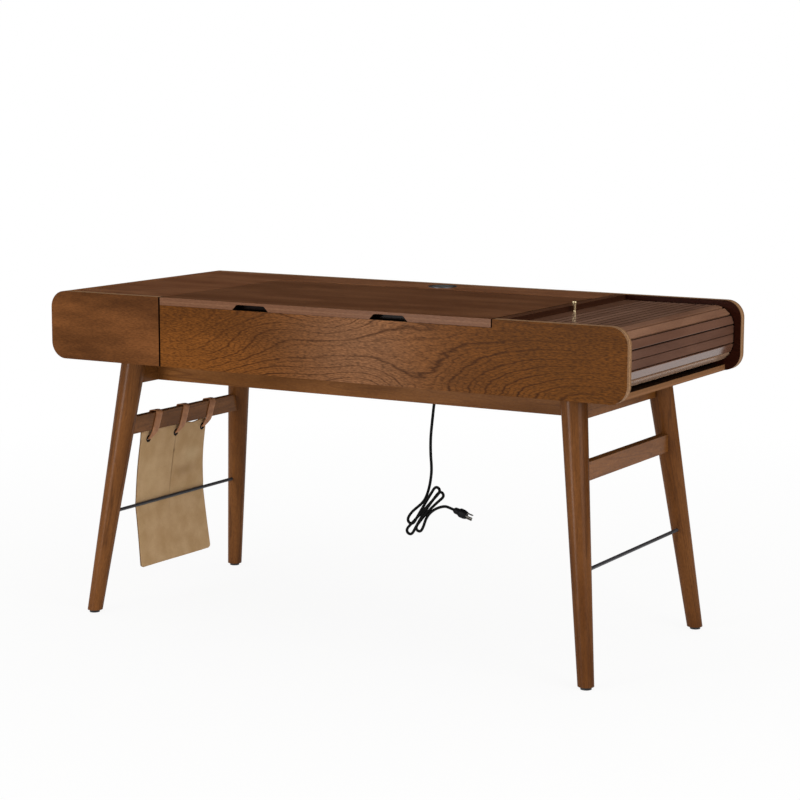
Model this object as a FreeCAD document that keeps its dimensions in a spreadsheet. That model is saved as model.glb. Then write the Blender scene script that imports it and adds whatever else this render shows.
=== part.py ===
import FreeCAD, Part
import math
import os
import re
import Sketcher

# A desk with a lift-up lid, a drawer at its left end and a tambour compartment at its right end.
# X runs to the right, Y to the back, Z up. The origin is on the floor under the middle of the case.

V = FreeCAD.Vector
doc = FreeCAD.newDocument("tambour_desk")
sheet = doc.addObject("Spreadsheet::Sheet", "sizes")

# Driving sizes in millimetres, counts, and angles in degrees
SIZES = (
    ("overall_width", 1470, "case, end to end"),
    ("overall_depth", 630, "case, front to back"),
    ("top_height", 762, "floor to the top surface"),
    ("case_height", 158, "front and back panels"),
    ("panel_thickness", 20, "front and back panels"),
    ("corner_radius", 39, "rounded corners of the panels"),
    ("board_thickness", 18, "top boards, left divider and end shell"),
    ("bottom_thickness", 13, "bottom board"),
    ("bottom_inset", 36, "right end of the bottom board, inside the outline"),
    ("shell_arm", 60, "top and bottom arms of the left end shell"),
    ("overrun", 10, "cutters past the faces that they cut"),
    ("drawer_front_width", 311, "left end to the seam"),
    ("strip_width", 24, "right divider, whose top shows beside the tambour"),
    ("tambour_width", 283, "right divider to the right end"),
    ("seam_gap", 4.5, "between drawer front and front panel"),
    ("rear_strip_depth", 115.5, "fixed strip behind the lid"),
    ("lid_gap", 1.5, "beside and behind the lid"),
    ("lid_end_gap", 3, "at the lid's right end"),
    ("lid_seat_gap", 0.5, "under the lid"),
    ("pin_inset", 7, "pivot below the top and inside the rear edge"),
    ("pin_diameter", 6, "lid pivot pins"),
    ("pin_bed", 32, "pin inside the lid"),
    ("pin_reach", 12, "pin inside its bush"),
    ("bush_diameter", 10, "lid bushes"),
    ("bush_length", 15, "lid bushes"),
    ("running_clearance", 0.05, "pin in bush, on the radius"),
    ("notch_width", 95, "finger notch at the lid's lower face"),
    ("notch_crown_width", 72, "finger notch at its top"),
    ("notch_height", 12, "finger notch"),
    ("notch_depth", 27, "finger notch, front to back"),
    ("notch_spacing", 354, "between the notches' middles"),
    ("notch_radius", 5, "upper corners of a notch"),
    ("side_thickness", 12, "drawer box boards"),
    ("box_rear_gap", 120, "behind the drawer box"),
    ("box_height", 96, "drawer box"),
    ("box_lift", 19, "drawer box above the bottom board"),
    ("tray_thickness", 5, "drawer bottom"),
    ("tray_lift", 10, "drawer bottom above the box's lower edge"),
    ("tray_bed", 6, "drawer bottom in its grooves"),
    ("slide_thickness", 12.5, "drawer slide, wall to box"),
    ("slide_height", 45, "outer slide rail"),
    ("slide_rear_gap", 140, "behind the slide rails"),
    ("slide_wall", 1.5, "slide sheet metal"),
    ("slide_play", 1.2, "between inner and outer slide rail"),
    ("tambour_drop", 12, "slats below the top surface"),
    ("tambour_inset", 16, "slats inside the right outline"),
    ("bend_radius", 46, "slat faces round both bends"),
    ("slat_pitch", 20, "slat to slat, along the canvas"),
    ("slat_gap", 1.4, "between slats on a straight run"),
    ("slat_thickness", 6, "slat"),
    ("slat_bevel", 0.8, "slat edges"),
    ("slat_end_gap", 0.6, "slat shoulders to the panels"),
    ("lead_width", 38, "lead rail"),
    ("lead_thickness", 12, "lead rail"),
    ("lead_gap", 1, "lead rail to the step when closed"),
    ("tongue_thickness", 5, "slat tongues"),
    ("tongue_width", 12, "slat tongues"),
    ("tongue_length", 8, "slat tongues past the panels' inner faces"),
    ("tongue_clearance", 1, "tongue in groove, each side"),
    ("groove_depth", 9, "tambour grooves"),
    ("slot_clearance", 7, "slats above the bottom board"),
    ("liner_thickness", 6, "tambour liner"),
    ("liner_clearance", 3, "liner to the slats"),
    ("liner_corner", 24, "outer corner of the liner"),
    ("liner_reach", 14, "liner wall past the bend's centre"),
    ("liner_headroom", 28, "liner wall below the top surface"),
    ("knob_share", 0.3, "knob across the lead rail, over its width"),
    ("knob_height", 23.5, "brass knob"),
    ("knob_foot_diameter", 8.6, "brass knob"),
    ("knob_foot_height", 1.6, "brass knob"),
    ("knob_neck_diameter", 6.8, "brass knob"),
    ("knob_flare_diameter", 9.4, "brass knob under its cap"),
    ("knob_cap_diameter", 11.8, "brass knob"),
    ("knob_cap_height", 4.6, "brass knob"),
    ("knob_edge", 0.8, "bevels of the cap"),
    ("foot_end_inset", 92, "leg axis at the floor, inside the ends"),
    ("foot_side_inset", 24, "leg axis at the floor, inside front and back"),
    ("leg_end_inset", 165, "leg axis at the bottom board, inside the ends"),
    ("leg_side_inset", 98, "leg axis at the bottom board, inside front and back"),
    ("leg_foot_diameter", 35, "leg"),
    ("leg_top_diameter", 58, "leg"),
    ("glide_height", 6, "glide"),
    ("glide_diameter", 24, "glide"),
    ("rail_height", 59, "rails under the case"),
    ("rail_thickness", 22, "rails under the case"),
    ("side_rail_inset", 10, "side rails inside the leg axes"),
    ("long_rail_inset", 165, "outer faces of front and back rail, inside the case"),
    ("stretcher_share", 0.729, "stretchers' middle, over the leg height"),
    ("stretcher_height", 40, "stretchers"),
    ("stretcher_thickness", 20, "stretchers"),
    ("rod_share", 0.393, "rod axis, over the leg height"),
    ("rod_diameter", 8, "metal rods"),
    ("sling_thickness", 2.6, "sling leather"),
    ("sling_gap", 0.3, "sling to the rod"),
    ("sling_lower_lean", 4.2, "lower part off the vertical, in degrees"),
    ("sling_lower_share", 0.657, "rod to lower edge, over the rod's height"),
    ("sling_head", 21, "top edge above the straps' lower ends"),
    ("sling_hang", 5, "sheet outside the straps' middle, at their lower ends"),
    ("sling_top_width", 270, "sling"),
    ("sling_low_width", 280, "sling"),
    ("sling_top_middle", 32, "middle of the top edge, in front of the desk's middle"),
    ("sling_low_middle", 10, "middle of the lower edge, in front of the desk's middle"),
    ("sling_corner", 9, "rounded lower corners"),
    ("eyelet_diameter", 15, "eyelets in the sling"),
    ("strap_spacing", 110, "strap to strap"),
    ("strap_middle", 26, "middle strap, in front of the desk's middle"),
    ("strap_width", 12, "strap"),
    ("strap_thickness", 2, "strap"),
    ("strap_gap", 0.3, "strap to stretcher"),
    ("strap_drop", 24, "strap below the stretcher"),
    ("power_diameter", 56, "power housing"),
    ("power_depth", 74, "power housing below the top surface"),
    ("bezel_diameter", 68, "bezel ring"),
    ("bezel_height", 1.4, "bezel ring above the top"),
    ("power_face_rise", 0.8, "housing face above the top"),
    ("relief_length", 28, "strain relief"),
    ("relief_diameter", 15, "strain relief at the housing"),
    ("relief_end_diameter", 10, "strain relief at the cord"),
    ("cord_diameter", 7, "mains cord"),
    ("bush_rim", 3, "cord bush past the bottom board"),
    ("cord_bush_diameter", 24, "cord bush"),
    ("cord_bush_bore", 15, "cord bush"),
    ("hank_step", 8, "layer to layer in the hank"),
    ("plug_length", 36, "plug body"),
    ("plug_width", 23, "plug body"),
    ("plug_height", 18, "plug body"),
    ("plug_neck_diameter", 11, "plug at the cord"),
    ("blade_length", 15, "plug blades"),
    ("blade_width", 6.4, "plug blades"),
    ("blade_thickness", 1.5, "plug blades"),
    ("blade_spacing", 12.7, "plug blades"),
    ("earth_pin_diameter", 4.8, "plug earth pin"),
    ("earth_pin_drop", 5, "earth pin beside the blades' line"),
    ("earth_pin_share", 1.15, "earth pin length over blade length"),
    ("plug_roll", -90, "plug about its own axis, in degrees"),
    ("match", 0.01, "how near a corner counts as the same"),
)
for row, (alias, value, note) in enumerate(SIZES, start=1):
    sheet.set(f"A{row}", alias)
    sheet.set(f"B{row}", str(value))
    sheet.setAlias(f"B{row}", alias)
    sheet.set(f"C{row}", note)
doc.recompute()
NAMES = {alias for alias, value, note in SIZES}
nodes = []


def bound(text):
    """The text as an expression on the sheet."""
    def named(word):
        return "sizes." + word.group() if word.group() in NAMES else word.group()

    return re.sub(r"[a-z_]+", named, text)


def size(text):
    """The text's value, from the sheet."""
    return float(sheet.evalExpression(text))


def keep(thing):
    """Counts the object as a sub-part, which is written out."""
    nodes.append(thing)
    return thing


def board(label, corner, spans):
    """A square-edged board from its low corner and its three spans."""
    box = doc.addObject("Part::Box", label)
    for name, text in zip(("Length", "Width", "Height"), spans):
        box.setExpression(name, bound(text))
    for axis, text in zip("xyz", corner):
        box.setExpression("Placement.Base." + axis, bound(text))
    return box


TURNS = {
    "x": FreeCAD.Rotation(V(0, 1, 0), 90),
    "y": FreeCAD.Rotation(V(1, 0, 0), -90),
    "z": FreeCAD.Rotation(),
}


def bar(label, start, axis, diameter, length):
    """A round bar that runs along an axis from its start."""
    cylinder = doc.addObject("Part::Cylinder", label)
    cylinder.setExpression("Radius", bound(f"({diameter}) / 2"))
    cylinder.setExpression("Height", bound(length))
    cylinder.Placement = FreeCAD.Placement(V(), TURNS[axis])
    for name, text in zip("xyz", start):
        cylinder.setExpression("Placement.Base." + name, bound(text))
    return cylinder


def slab(label, plane, points, low, high):
    """A body padded from an outline on XZ, YZ or XY, between two places on the plane's normal."""
    body = doc.addObject("PartDesign::Body", label)
    sketch = body.newObject("Sketcher::SketchObject", label + "_outline")
    support = [part for part in body.Origin.OriginFeatures if part.Role == plane + "_Plane"][0]
    sketch.AttachmentSupport = (support, [""])
    sketch.MapMode = "FlatFace"
    sketch.setExpression("AttachmentOffset.Base.z", bound(f"-({high})" if plane == "XZ" else low))
    places = [V(size(across), size(up), 0) for across, up in points]
    count = len(points)
    for index, place in enumerate(places):
        sketch.addGeometry(Part.LineSegment(place, places[(index + 1) % count]))
    for index, point in enumerate(points):
        sketch.addConstraint(Sketcher.Constraint("Coincident", index, 2, (index + 1) % count, 1))
        for kind, text in zip(("DistanceX", "DistanceY"), point):
            number = sketch.addConstraint(Sketcher.Constraint(kind, -1, 1, index, 1, size(text)))
            sketch.setExpression(f"Constraints[{number}]", bound(text))
    pad = body.newObject("PartDesign::Pad", label + "_pad")
    pad.Profile = sketch
    pad.setExpression("Length", bound(f"({high}) - ({low})"))
    doc.recompute()
    return body


def rounded(body, plane, corners, radius):
    """Rounds the edges of a body's pad that stand on the given corners of its outline."""
    pad = body.Tip
    places = [(size(across), size(up)) for across, up in corners]
    names = []
    for index, edge in enumerate(pad.Shape.Edges, start=1):
        pairs = {tuple(round(getattr(vertex, axis), 3) for axis in plane) for vertex in edge.Vertexes}
        if len(pairs) == 1 and min(math.dist(*pairs, place) for place in places) < size("match"):
            names.append(f"Edge{index}")
    fillet = body.newObject("PartDesign::Fillet", body.Name + "_rounding")
    fillet.Base = (pad, names)
    fillet.setExpression("Radius", bound(radius))
    body.Tip = fillet
    doc.recompute()
    return body


def cut(label, base, tools):
    """The base without the tools' space."""
    tool = tools[0]
    if len(tools) > 1:
        tool = doc.addObject("Part::MultiFuse", label + "_tools")
        tool.Shapes = tools
    piece = doc.addObject("Part::Cut", label)
    piece.Base = base
    piece.Tool = tool
    doc.recompute()
    return piece


def joined(label, pieces):
    """One piece out of several that are glued or moulded together."""
    piece = doc.addObject("Part::MultiFuse", label)
    piece.Shapes = pieces
    doc.recompute()
    return piece


def group(label, pieces):
    """Separate pieces of one kind that share a name."""
    compound = doc.addObject("Part::Compound", label)
    compound.Links = pieces
    doc.recompute()
    return compound


def shaped(label, shape):
    """An object with a shape of its own."""
    thing = doc.addObject("Part::Feature", label)
    thing.Shape = shape
    return thing


# Places that the pieces share
LEFT = "(-overall_width / 2)"
RIGHT = "(overall_width / 2)"
FRONT = "(-overall_depth / 2)"
FRONT_INNER = "(-overall_depth / 2 + panel_thickness)"
BACK_INNER = "(overall_depth / 2 - panel_thickness)"
BETWEEN = "(overall_depth - 2 * panel_thickness)"
CASE_LOW = "(top_height - case_height)"
BOARD_TOP = "(top_height - case_height + bottom_thickness)"
TOP_UNDER = "(top_height - board_thickness)"
SEAM = "(-overall_width / 2 + drawer_front_width)"
LID_LEFT = f"({SEAM} + seam_gap / 2)"
STEP = "(overall_width / 2 - tambour_width)"
LID_END = f"({STEP} - strip_width)"
TOP_LEFT_END = f"({LID_LEFT} - lid_gap)"
REAR_STRIP = f"({BACK_INNER} - rear_strip_depth)"
LID_REAR = f"({REAR_STRIP} - lid_gap)"
PIVOT = (f"({LID_REAR} - pin_inset)", "(top_height - pin_inset)")
POWER = (f"(({SEAM} + {LID_END}) / 2)", f"({BACK_INNER} - rear_strip_depth / 2)")

# The track of the tambour's outer face: along the top, round the end and back under the liner
TRACK_TOP = size("top_height - tambour_drop")
TRACK_LOW = size(f"{BOARD_TOP} + slot_clearance")
BEND_X = size(f"{RIGHT} - tambour_inset - bend_radius")
BEND_RADIUS = size("bend_radius")
CANVAS_RADIUS = size("bend_radius - slat_thickness")
FLAT_RUN = BEND_X - size(f"{STEP} + lead_gap")
BEND_RUN = CANVAS_RADIUS * math.pi / 2
DOWN_RUN = TRACK_TOP - TRACK_LOW - 2 * BEND_RADIUS


def track_band(outer, inner, low, high):
    """The space between two depths below the track's outer face, from one Y to another."""
    start = V(size(STEP), low, 0)

    def line(depth):
        radius = BEND_RADIUS - depth
        slant = radius * math.sqrt(0.5)
        upper = TRACK_TOP - BEND_RADIUS
        lower = TRACK_LOW + BEND_RADIUS
        points = [V(start.x, low, upper + radius), V(BEND_X, low, upper + radius)]
        points += [V(BEND_X + slant, low, upper + slant), V(BEND_X + radius, low, upper)]
        points += [V(BEND_X + radius, low, lower), V(BEND_X + slant, low, lower - slant)]
        return points + [V(BEND_X, low, lower - radius), V(start.x, low, lower - radius)]

    def edges(p):
        run = [Part.LineSegment(p[0], p[1]), Part.Arc(p[1], p[2], p[3]), Part.LineSegment(p[3], p[4])]
        return run + [Part.Arc(p[4], p[5], p[6]), Part.LineSegment(p[6], p[7])]

    out, back = line(outer), line(inner)
    ends = [Part.LineSegment(out[0], back[0]), Part.LineSegment(out[-1], back[-1])]
    curves = edges(out) + edges(back) + ends
    wire = Part.Wire(Part.__sortEdges__([curve.toShape() for curve in curves]))
    return Part.Face(wire).extrude(V(0, high - low, 0))


def track_place(run):
    """Where a slat's outer face lies and how far it has turned, after a run along the canvas."""
    if run <= FLAT_RUN:
        return FreeCAD.Placement(V(BEND_X - FLAT_RUN + run, 0, TRACK_TOP), FreeCAD.Rotation())
    run -= FLAT_RUN
    turn = min(run, BEND_RUN) / CANVAS_RADIUS
    down = min(max(run - BEND_RUN, 0), DOWN_RUN)
    turn += min(max(run - BEND_RUN - DOWN_RUN, 0), BEND_RUN) / CANVAS_RADIUS
    under = max(run - 2 * BEND_RUN - DOWN_RUN, 0)
    height = TRACK_TOP - BEND_RADIUS - down + BEND_RADIUS * math.cos(turn)
    place = V(BEND_X - under + BEND_RADIUS * math.sin(turn), 0, height)
    return FreeCAD.Placement(place, FreeCAD.Rotation(V(0, 1, 0), math.degrees(turn)))


# Front and back panels, with the tambour's groove on their inner faces
outline = [(LID_LEFT, CASE_LOW), (RIGHT, CASE_LOW), (RIGHT, "top_height"), (LID_END, "top_height")]
outline += [(LID_END, TOP_UNDER), (LID_LEFT, TOP_UNDER)]
front_blank = slab("front_panel_blank", "XZ", outline, FRONT, FRONT_INNER)
rounded(front_blank, "XZ", outline[1:3], "corner_radius")
outline = [(LEFT, CASE_LOW), (RIGHT, CASE_LOW), (RIGHT, "top_height"), (LEFT, "top_height")]
back_blank = slab("back_panel_blank", "XZ", outline, BACK_INNER, "overall_depth / 2")
rounded(back_blank, "XZ", outline, "corner_radius")
groove_half = size("tongue_thickness / 2 + tongue_clearance")
groove_middle = size("slat_thickness / 2")
depths = (groove_middle - groove_half, groove_middle + groove_half)
front_ends = (size(f"{FRONT_INNER} - groove_depth"), size(FRONT_INNER))
back_ends = (size(BACK_INNER), size(f"{BACK_INNER} + groove_depth"))
front_groove = shaped("front_groove", track_band(*depths, *front_ends))
back_groove = shaped("back_groove", track_band(*depths, *back_ends))
keep(cut("front_panel", front_blank, [front_groove]))
keep(cut("back_panel", back_blank, [back_groove]))

# Bent left end, boards and dividers
shell_end = f"({LEFT} + shell_arm)"
shell_wall = f"({LEFT} + board_thickness)"
shell_floor = f"({CASE_LOW} + board_thickness)"
outline = [(LEFT, CASE_LOW), (shell_end, CASE_LOW), (shell_end, shell_floor), (shell_wall, shell_floor)]
outline += [(shell_wall, TOP_UNDER), (shell_end, TOP_UNDER), (shell_end, "top_height"), (LEFT, "top_height")]
shell = slab("left_end_shell", "XZ", outline, FRONT_INNER, BACK_INNER)
rounded(shell, "XZ", [outline[0], outline[7]], "corner_radius")
rounded(shell, "XZ", outline[3:5], "corner_radius - board_thickness")
keep(shell)
bush_y, bush_z = PIVOT
bores = []
bushes = []
pins = []
pin_bores = []
for label, face, inward, gap in (
    ("left", TOP_LEFT_END, -1, "lid_gap"),
    ("right", LID_END, 1, "lid_end_gap"),
):
    start = face if inward > 0 else f"({face} - bush_length)"
    bores.append(bar(f"{label}_bush_seat", (start, bush_y, bush_z), "x", "bush_diameter", "bush_length"))
    body = bar(f"{label}_bush_stock", (start, bush_y, bush_z), "x", "bush_diameter", "bush_length")
    bore = "pin_diameter + 2 * running_clearance"
    hole = bar(f"{label}_bush_bore", (start, bush_y, bush_z), "x", bore, "bush_length")
    bushes.append(cut(f"{label}_bush", body, [hole]))
    start = f"({face} - {gap} - pin_bed)" if inward > 0 else f"({face} - pin_reach)"
    length = f"pin_bed + {gap} + pin_reach"
    pins.append(bar(f"{label}_pin", (start, bush_y, bush_z), "x", "pin_diameter", length))
    pin_bores.append(bar(f"{label}_pin_seat", (start, bush_y, bush_z), "x", "pin_diameter", length))
blank = board(
    "top_left_blank",
    (shell_end, FRONT_INNER, TOP_UNDER),
    (f"{TOP_LEFT_END} - {shell_end}", BETWEEN, "board_thickness"),
)
keep(cut("top_left", blank, [bores[0]]))
blank = board(
    "top_rear_blank",
    (TOP_LEFT_END, REAR_STRIP, TOP_UNDER),
    (f"{LID_END} - {TOP_LEFT_END}", f"{BACK_INNER} - {REAR_STRIP}", "board_thickness"),
)
socket = bar("power_opening", (*POWER, TOP_UNDER), "z", "power_diameter", "board_thickness")
keep(cut("top_rear", blank, [socket]))
keep(board(
    "divider_left",
    (f"{SEAM} - board_thickness / 2", FRONT_INNER, BOARD_TOP),
    ("board_thickness", BETWEEN, f"{TOP_UNDER} - {BOARD_TOP}"),
))
blank = board(
    "divider_right_blank",
    (LID_END, FRONT_INNER, BOARD_TOP),
    ("strip_width", BETWEEN, f"top_height - {BOARD_TOP}"),
)
keep(cut("divider_right", blank, [bores[1]]))
partition_left = f"({SEAM} + board_thickness / 2)"
keep(board(
    "rear_partition",
    (partition_left, REAR_STRIP, BOARD_TOP),
    (f"{LID_END} - {partition_left}", "side_thickness", f"{TOP_UNDER} - {BOARD_TOP}"),
))
blank = board(
    "bottom_board_blank",
    (shell_end, FRONT_INNER, CASE_LOW),
    (f"{RIGHT} - bottom_inset - {shell_end}", BETWEEN, "bottom_thickness"),
)
cord_hole = bar("cord_hole", (*POWER, CASE_LOW), "z", "cord_bush_diameter", "bottom_thickness")
keep(cut("bottom_board", blank, [cord_hole]))
liner_low = f"({BOARD_TOP} + slot_clearance + slat_thickness + liner_clearance)"
liner_out = f"({RIGHT} - tambour_inset - bend_radius + liner_reach)"
liner_in = f"({liner_out} - liner_thickness)"
liner_floor = f"({liner_low} + liner_thickness)"
liner_top = "(top_height - liner_headroom)"
outline = [(STEP, liner_low), (liner_out, liner_low), (liner_out, liner_top), (liner_in, liner_top)]
outline += [(liner_in, liner_floor), (STEP, liner_floor)]
liner = slab("tambour_liner", "XZ", outline, FRONT_INNER, BACK_INNER)
rounded(liner, "XZ", [outline[1]], "liner_corner")
rounded(liner, "XZ", [outline[4]], "liner_corner - liner_thickness")
keep(liner)
keep(group("lid_bushes", bushes))

# Lid with its finger notches; the rear edge is rounded about the pivot
lid_low = f"({TOP_UNDER} + lid_seat_gap)"
outline = [(FRONT, lid_low), (LID_REAR, lid_low), (LID_REAR, "top_height"), (FRONT, "top_height")]
blank = slab("lid_blank", "YZ", outline, LID_LEFT, f"({LID_END} - lid_end_gap)")
rounded(blank, "YZ", outline[1:3], "pin_inset")
notches = []
for label, side in (("left", "-"), ("right", "+")):
    middle = f"(({LID_LEFT} + {LID_END} - lid_end_gap) / 2 {side} notch_spacing / 2)"
    crown = f"({lid_low} + notch_height)"
    low = f"({lid_low} - overrun)"
    outline = [(f"({middle} - notch_width / 2)", low), (f"({middle} + notch_width / 2)", low)]
    outline += [(f"({middle} + notch_width / 2)", lid_low), (f"({middle} + notch_crown_width / 2)", crown)]
    outline += [(f"({middle} - notch_crown_width / 2)", crown), (f"({middle} - notch_width / 2)", lid_low)]
    notch = slab(f"{label}_notch", "XZ", outline, f"({FRONT} - overrun)", f"({FRONT} + notch_depth)")
    notches.append(rounded(notch, "XZ", outline[3:5], "notch_radius"))
keep(cut("lid", blank, notches + pin_bores))
keep(group("lid_pins", pins))

# Drawer: overlay front, box and slides
front_right = f"({SEAM} - seam_gap / 2)"
outline = [(LEFT, CASE_LOW), (front_right, CASE_LOW), (front_right, "top_height"), (LEFT, "top_height")]
drawer_front = slab("drawer_front", "XZ", outline, FRONT, FRONT_INNER)
keep(rounded(drawer_front, "XZ", [outline[0], outline[3]], "corner_radius"))
bay_right = f"({SEAM} - board_thickness / 2)"
box_left = f"({shell_wall} + slide_thickness)"
box_right = f"({bay_right} - slide_thickness)"
box_low = f"({BOARD_TOP} + box_lift)"
BOX_DEPTH = f"({BETWEEN} - box_rear_gap)"
box_rear = f"({FRONT_INNER} + {BOX_DEPTH})"
inside_width = f"({box_right} - {box_left} - 2 * side_thickness)"
inside_left = f"({box_left} + side_thickness)"
tray = board(
    "drawer_bottom",
    (f"{inside_left} - tray_bed", f"{FRONT_INNER} + side_thickness - tray_bed", f"{box_low} + tray_lift"),
    (f"{inside_width} + 2 * tray_bed", f"{BOX_DEPTH} - 2 * side_thickness + 2 * tray_bed", "tray_thickness"),
)
keep(tray)
for label, corner, spans in (
    ("drawer_side_left", (box_left, FRONT_INNER), ("side_thickness", BOX_DEPTH)),
    ("drawer_side_right", (f"{box_right} - side_thickness", FRONT_INNER), ("side_thickness", BOX_DEPTH)),
    ("drawer_box_front", (inside_left, FRONT_INNER), (inside_width, "side_thickness")),
    ("drawer_back", (inside_left, f"{box_rear} - side_thickness"), (inside_width, "side_thickness")),
):
    keep(cut(label, board(label + "_blank", (*corner, box_low), (*spans, "box_height")), [tray]))
slide_middle = f"({box_low} + box_height / 2)"
slide_rear = f"({BACK_INNER} - slide_rear_gap)"


def channel(label, back, toward, height, depth):
    """A rail bent out of sheet metal, open to one side."""
    low = f"({slide_middle} - ({height}) / 2)"
    high = f"({slide_middle} + ({height}) / 2)"
    web = f"({back} {toward} slide_wall)"
    lip = f"({back} {toward} ({depth}))"
    path = [(back, low), (lip, low), (lip, f"({low} + slide_wall)"), (web, f"({low} + slide_wall)")]
    path += [(web, f"({high} - slide_wall)"), (lip, f"({high} - slide_wall)"), (lip, high), (back, high)]
    return slab(label, "XZ", path, FRONT_INNER, slide_rear)


outer_depth = "slide_thickness - slide_wall - slide_play"
inner_height = "slide_height - 2 * slide_wall - 2 * slide_play"
outer_rails = [channel("left_outer_rail", shell_wall, "+", "slide_height", outer_depth)]
outer_rails.append(channel("right_outer_rail", bay_right, "-", "slide_height", outer_depth))
inner_rails = [channel("left_inner_rail", box_left, "-", inner_height, outer_depth)]
inner_rails.append(channel("right_inner_rail", box_right, "+", inner_height, outer_depth))
keep(group("slide_outer_rails", outer_rails))
keep(group("slide_inner_rails", inner_rails))

# Tambour: lead rail, knob, and slats that lie along the track
lead_left = f"({STEP} + lead_gap)"
slat_front = f"({FRONT_INNER} + slat_end_gap)"
slat_length = f"({BETWEEN} - 2 * slat_end_gap)"
face = "(top_height - tambour_drop)"
pieces = [board(
    "lead_rail_stock",
    (lead_left, slat_front, f"{face} - lead_thickness"),
    ("lead_width", slat_length, "lead_thickness"),
)]
tongue_low = "slat_thickness / 2 + tongue_thickness / 2"
tongue_reach = "tongue_length + slat_end_gap"
for label, start in (("front", f"{FRONT_INNER} - tongue_length"), ("back", f"{BACK_INNER} - slat_end_gap")):
    pieces.append(board(
        f"lead_{label}_tongue",
        (lead_left, start, f"{face} - {tongue_low.replace('+', '-')}"),
        ("lead_width", tongue_reach, "tongue_thickness"),
    ))
keep(joined("lead_rail", pieces))
half = "(slat_pitch / 2 - slat_gap / 2)"
outline = [(f"(-{half})", "(-slat_thickness)"), (half, "(-slat_thickness)"), (half, "(-slat_bevel)")]
outline += [(f"({half} - slat_bevel)", "0"), (f"(slat_bevel - {half})", "0")]
outline.append((f"(-{half})", "(-slat_bevel)"))
pieces = [slab("slat_stock", "XZ", outline, slat_front, f"({slat_front} + {slat_length})")]
for label, start in (("front", f"{FRONT_INNER} - tongue_length"), ("back", f"{BACK_INNER} - slat_end_gap")):
    pieces.append(board(
        f"slat_{label}_tongue",
        ("-tongue_width / 2", start, f"-({tongue_low})"),
        ("tongue_width", tongue_reach, "tongue_thickness"),
    ))
slat = joined("slat_pattern", pieces).Shape.Solids[0]
first = size("lead_width + slat_pitch / 2 + slat_gap / 2")
SLAT_GROUPS = "01", "02", "03", "04_05", "06", "07", "08", "09", "10", "11", "12", "13_14", "15", "16", "17"
for numbers in SLAT_GROUPS:
    copies = []
    for number in numbers.split("_"):
        copy = slat.copy()
        copy.Placement = track_place(first + (int(number) - 1) * size("slat_pitch"))
        copies.append(copy)
    kind = "tambour_slats_" if len(copies) > 1 else "tambour_slat_"
    keep(shaped(kind + numbers, Part.makeCompound(copies)))
radius = "knob_foot_diameter / 2"
shoulder = "(knob_height - knob_cap_height)"
outline = [("0", "0"), (radius, "0"), (radius, "knob_foot_height")]
outline += [("knob_neck_diameter / 2", "2 * knob_foot_height"), ("knob_flare_diameter / 2", shoulder)]
rim = "knob_cap_diameter / 2"
outline += [(rim, f"{shoulder} + knob_edge"), (rim, "knob_height - knob_edge")]
outline += [(f"{rim} - knob_edge", "knob_height"), ("0", "knob_height")]
profile = Part.makePolygon([V(size(across), 0, size(up)) for across, up in outline + outline[:1]])
knob = shaped("tambour_knob", Part.Face(profile).revolve(V(), V(0, 0, 1), math.degrees(2 * math.pi)))
knob_x = size(f"{lead_left} + lead_width * knob_share")
knob.Placement = FreeCAD.Placement(V(knob_x, 0, TRACK_TOP), FreeCAD.Rotation())
keep(knob)

# Leg frame: round tapered legs that splay both ways, rails, stretchers and rods
FOOT = {"x": "(overall_width / 2 - foot_end_inset)", "y": "(overall_depth / 2 - foot_side_inset)"}
LEG_TOP = {"x": "(overall_width / 2 - leg_end_inset)", "y": "(overall_depth / 2 - leg_side_inset)"}


def leg_axis(height, name):
    """The legs' distance from the middle, at a height."""
    return f"({FOOT[name]} + ({LEG_TOP[name]} - {FOOT[name]}) * ({height}) / {CASE_LOW})"


foot_height = size(CASE_LOW)
leg_blanks = {}
floor_slab = board(
    "leg_span",
    (LEFT, FRONT, "glide_height"),
    ("overall_width", "overall_depth", f"{CASE_LOW} - glide_height"),
)
glides = []
for depth_name, depth_sign in (("front", -1), ("back", 1)):
    for side_name, side_sign in (("left", -1), ("right", 1)):
        foot = V(side_sign * size(FOOT["x"]), depth_sign * size(FOOT["y"]), 0)
        top = V(side_sign * size(LEG_TOP["x"]), depth_sign * size(LEG_TOP["y"]), foot_height)
        along = (top - foot) * (1 + size("overrun") / foot_height)
        cone = doc.addObject("Part::Cone", f"{depth_name}_{side_name}_cone")
        cone.setExpression("Radius1", bound("leg_foot_diameter / 2"))
        cone.setExpression("Radius2", bound("leg_top_diameter / 2"))
        cone.Height = along.Length
        cone.Placement = FreeCAD.Placement(foot, FreeCAD.Rotation(V(0, 0, 1), along))
        leg = doc.addObject("Part::Common", f"{depth_name}_{side_name}_leg")
        leg.Base = cone
        leg.Tool = floor_slab
        leg_blanks[depth_name, side_name] = leg
        centre = (f"{side_sign} * {FOOT['x']}", f"{depth_sign} * {FOOT['y']}")
        label = f"{depth_name}_{side_name}_glide"
        glides.append(bar(label, (*centre, "0"), "z", "glide_diameter", "glide_height"))
doc.recompute()
rods = []
rail_low = f"({CASE_LOW} - rail_height)"
rail_mid = f"({CASE_LOW} - rail_height / 2)"
stretcher_mid = f"({CASE_LOW} * stretcher_share)"
stretcher_low = f"({stretcher_mid} - stretcher_height / 2)"
rod_height = f"({CASE_LOW} * rod_share)"
rail_x = f"({leg_axis(rail_mid, 'x')} - side_rail_inset)"
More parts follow.
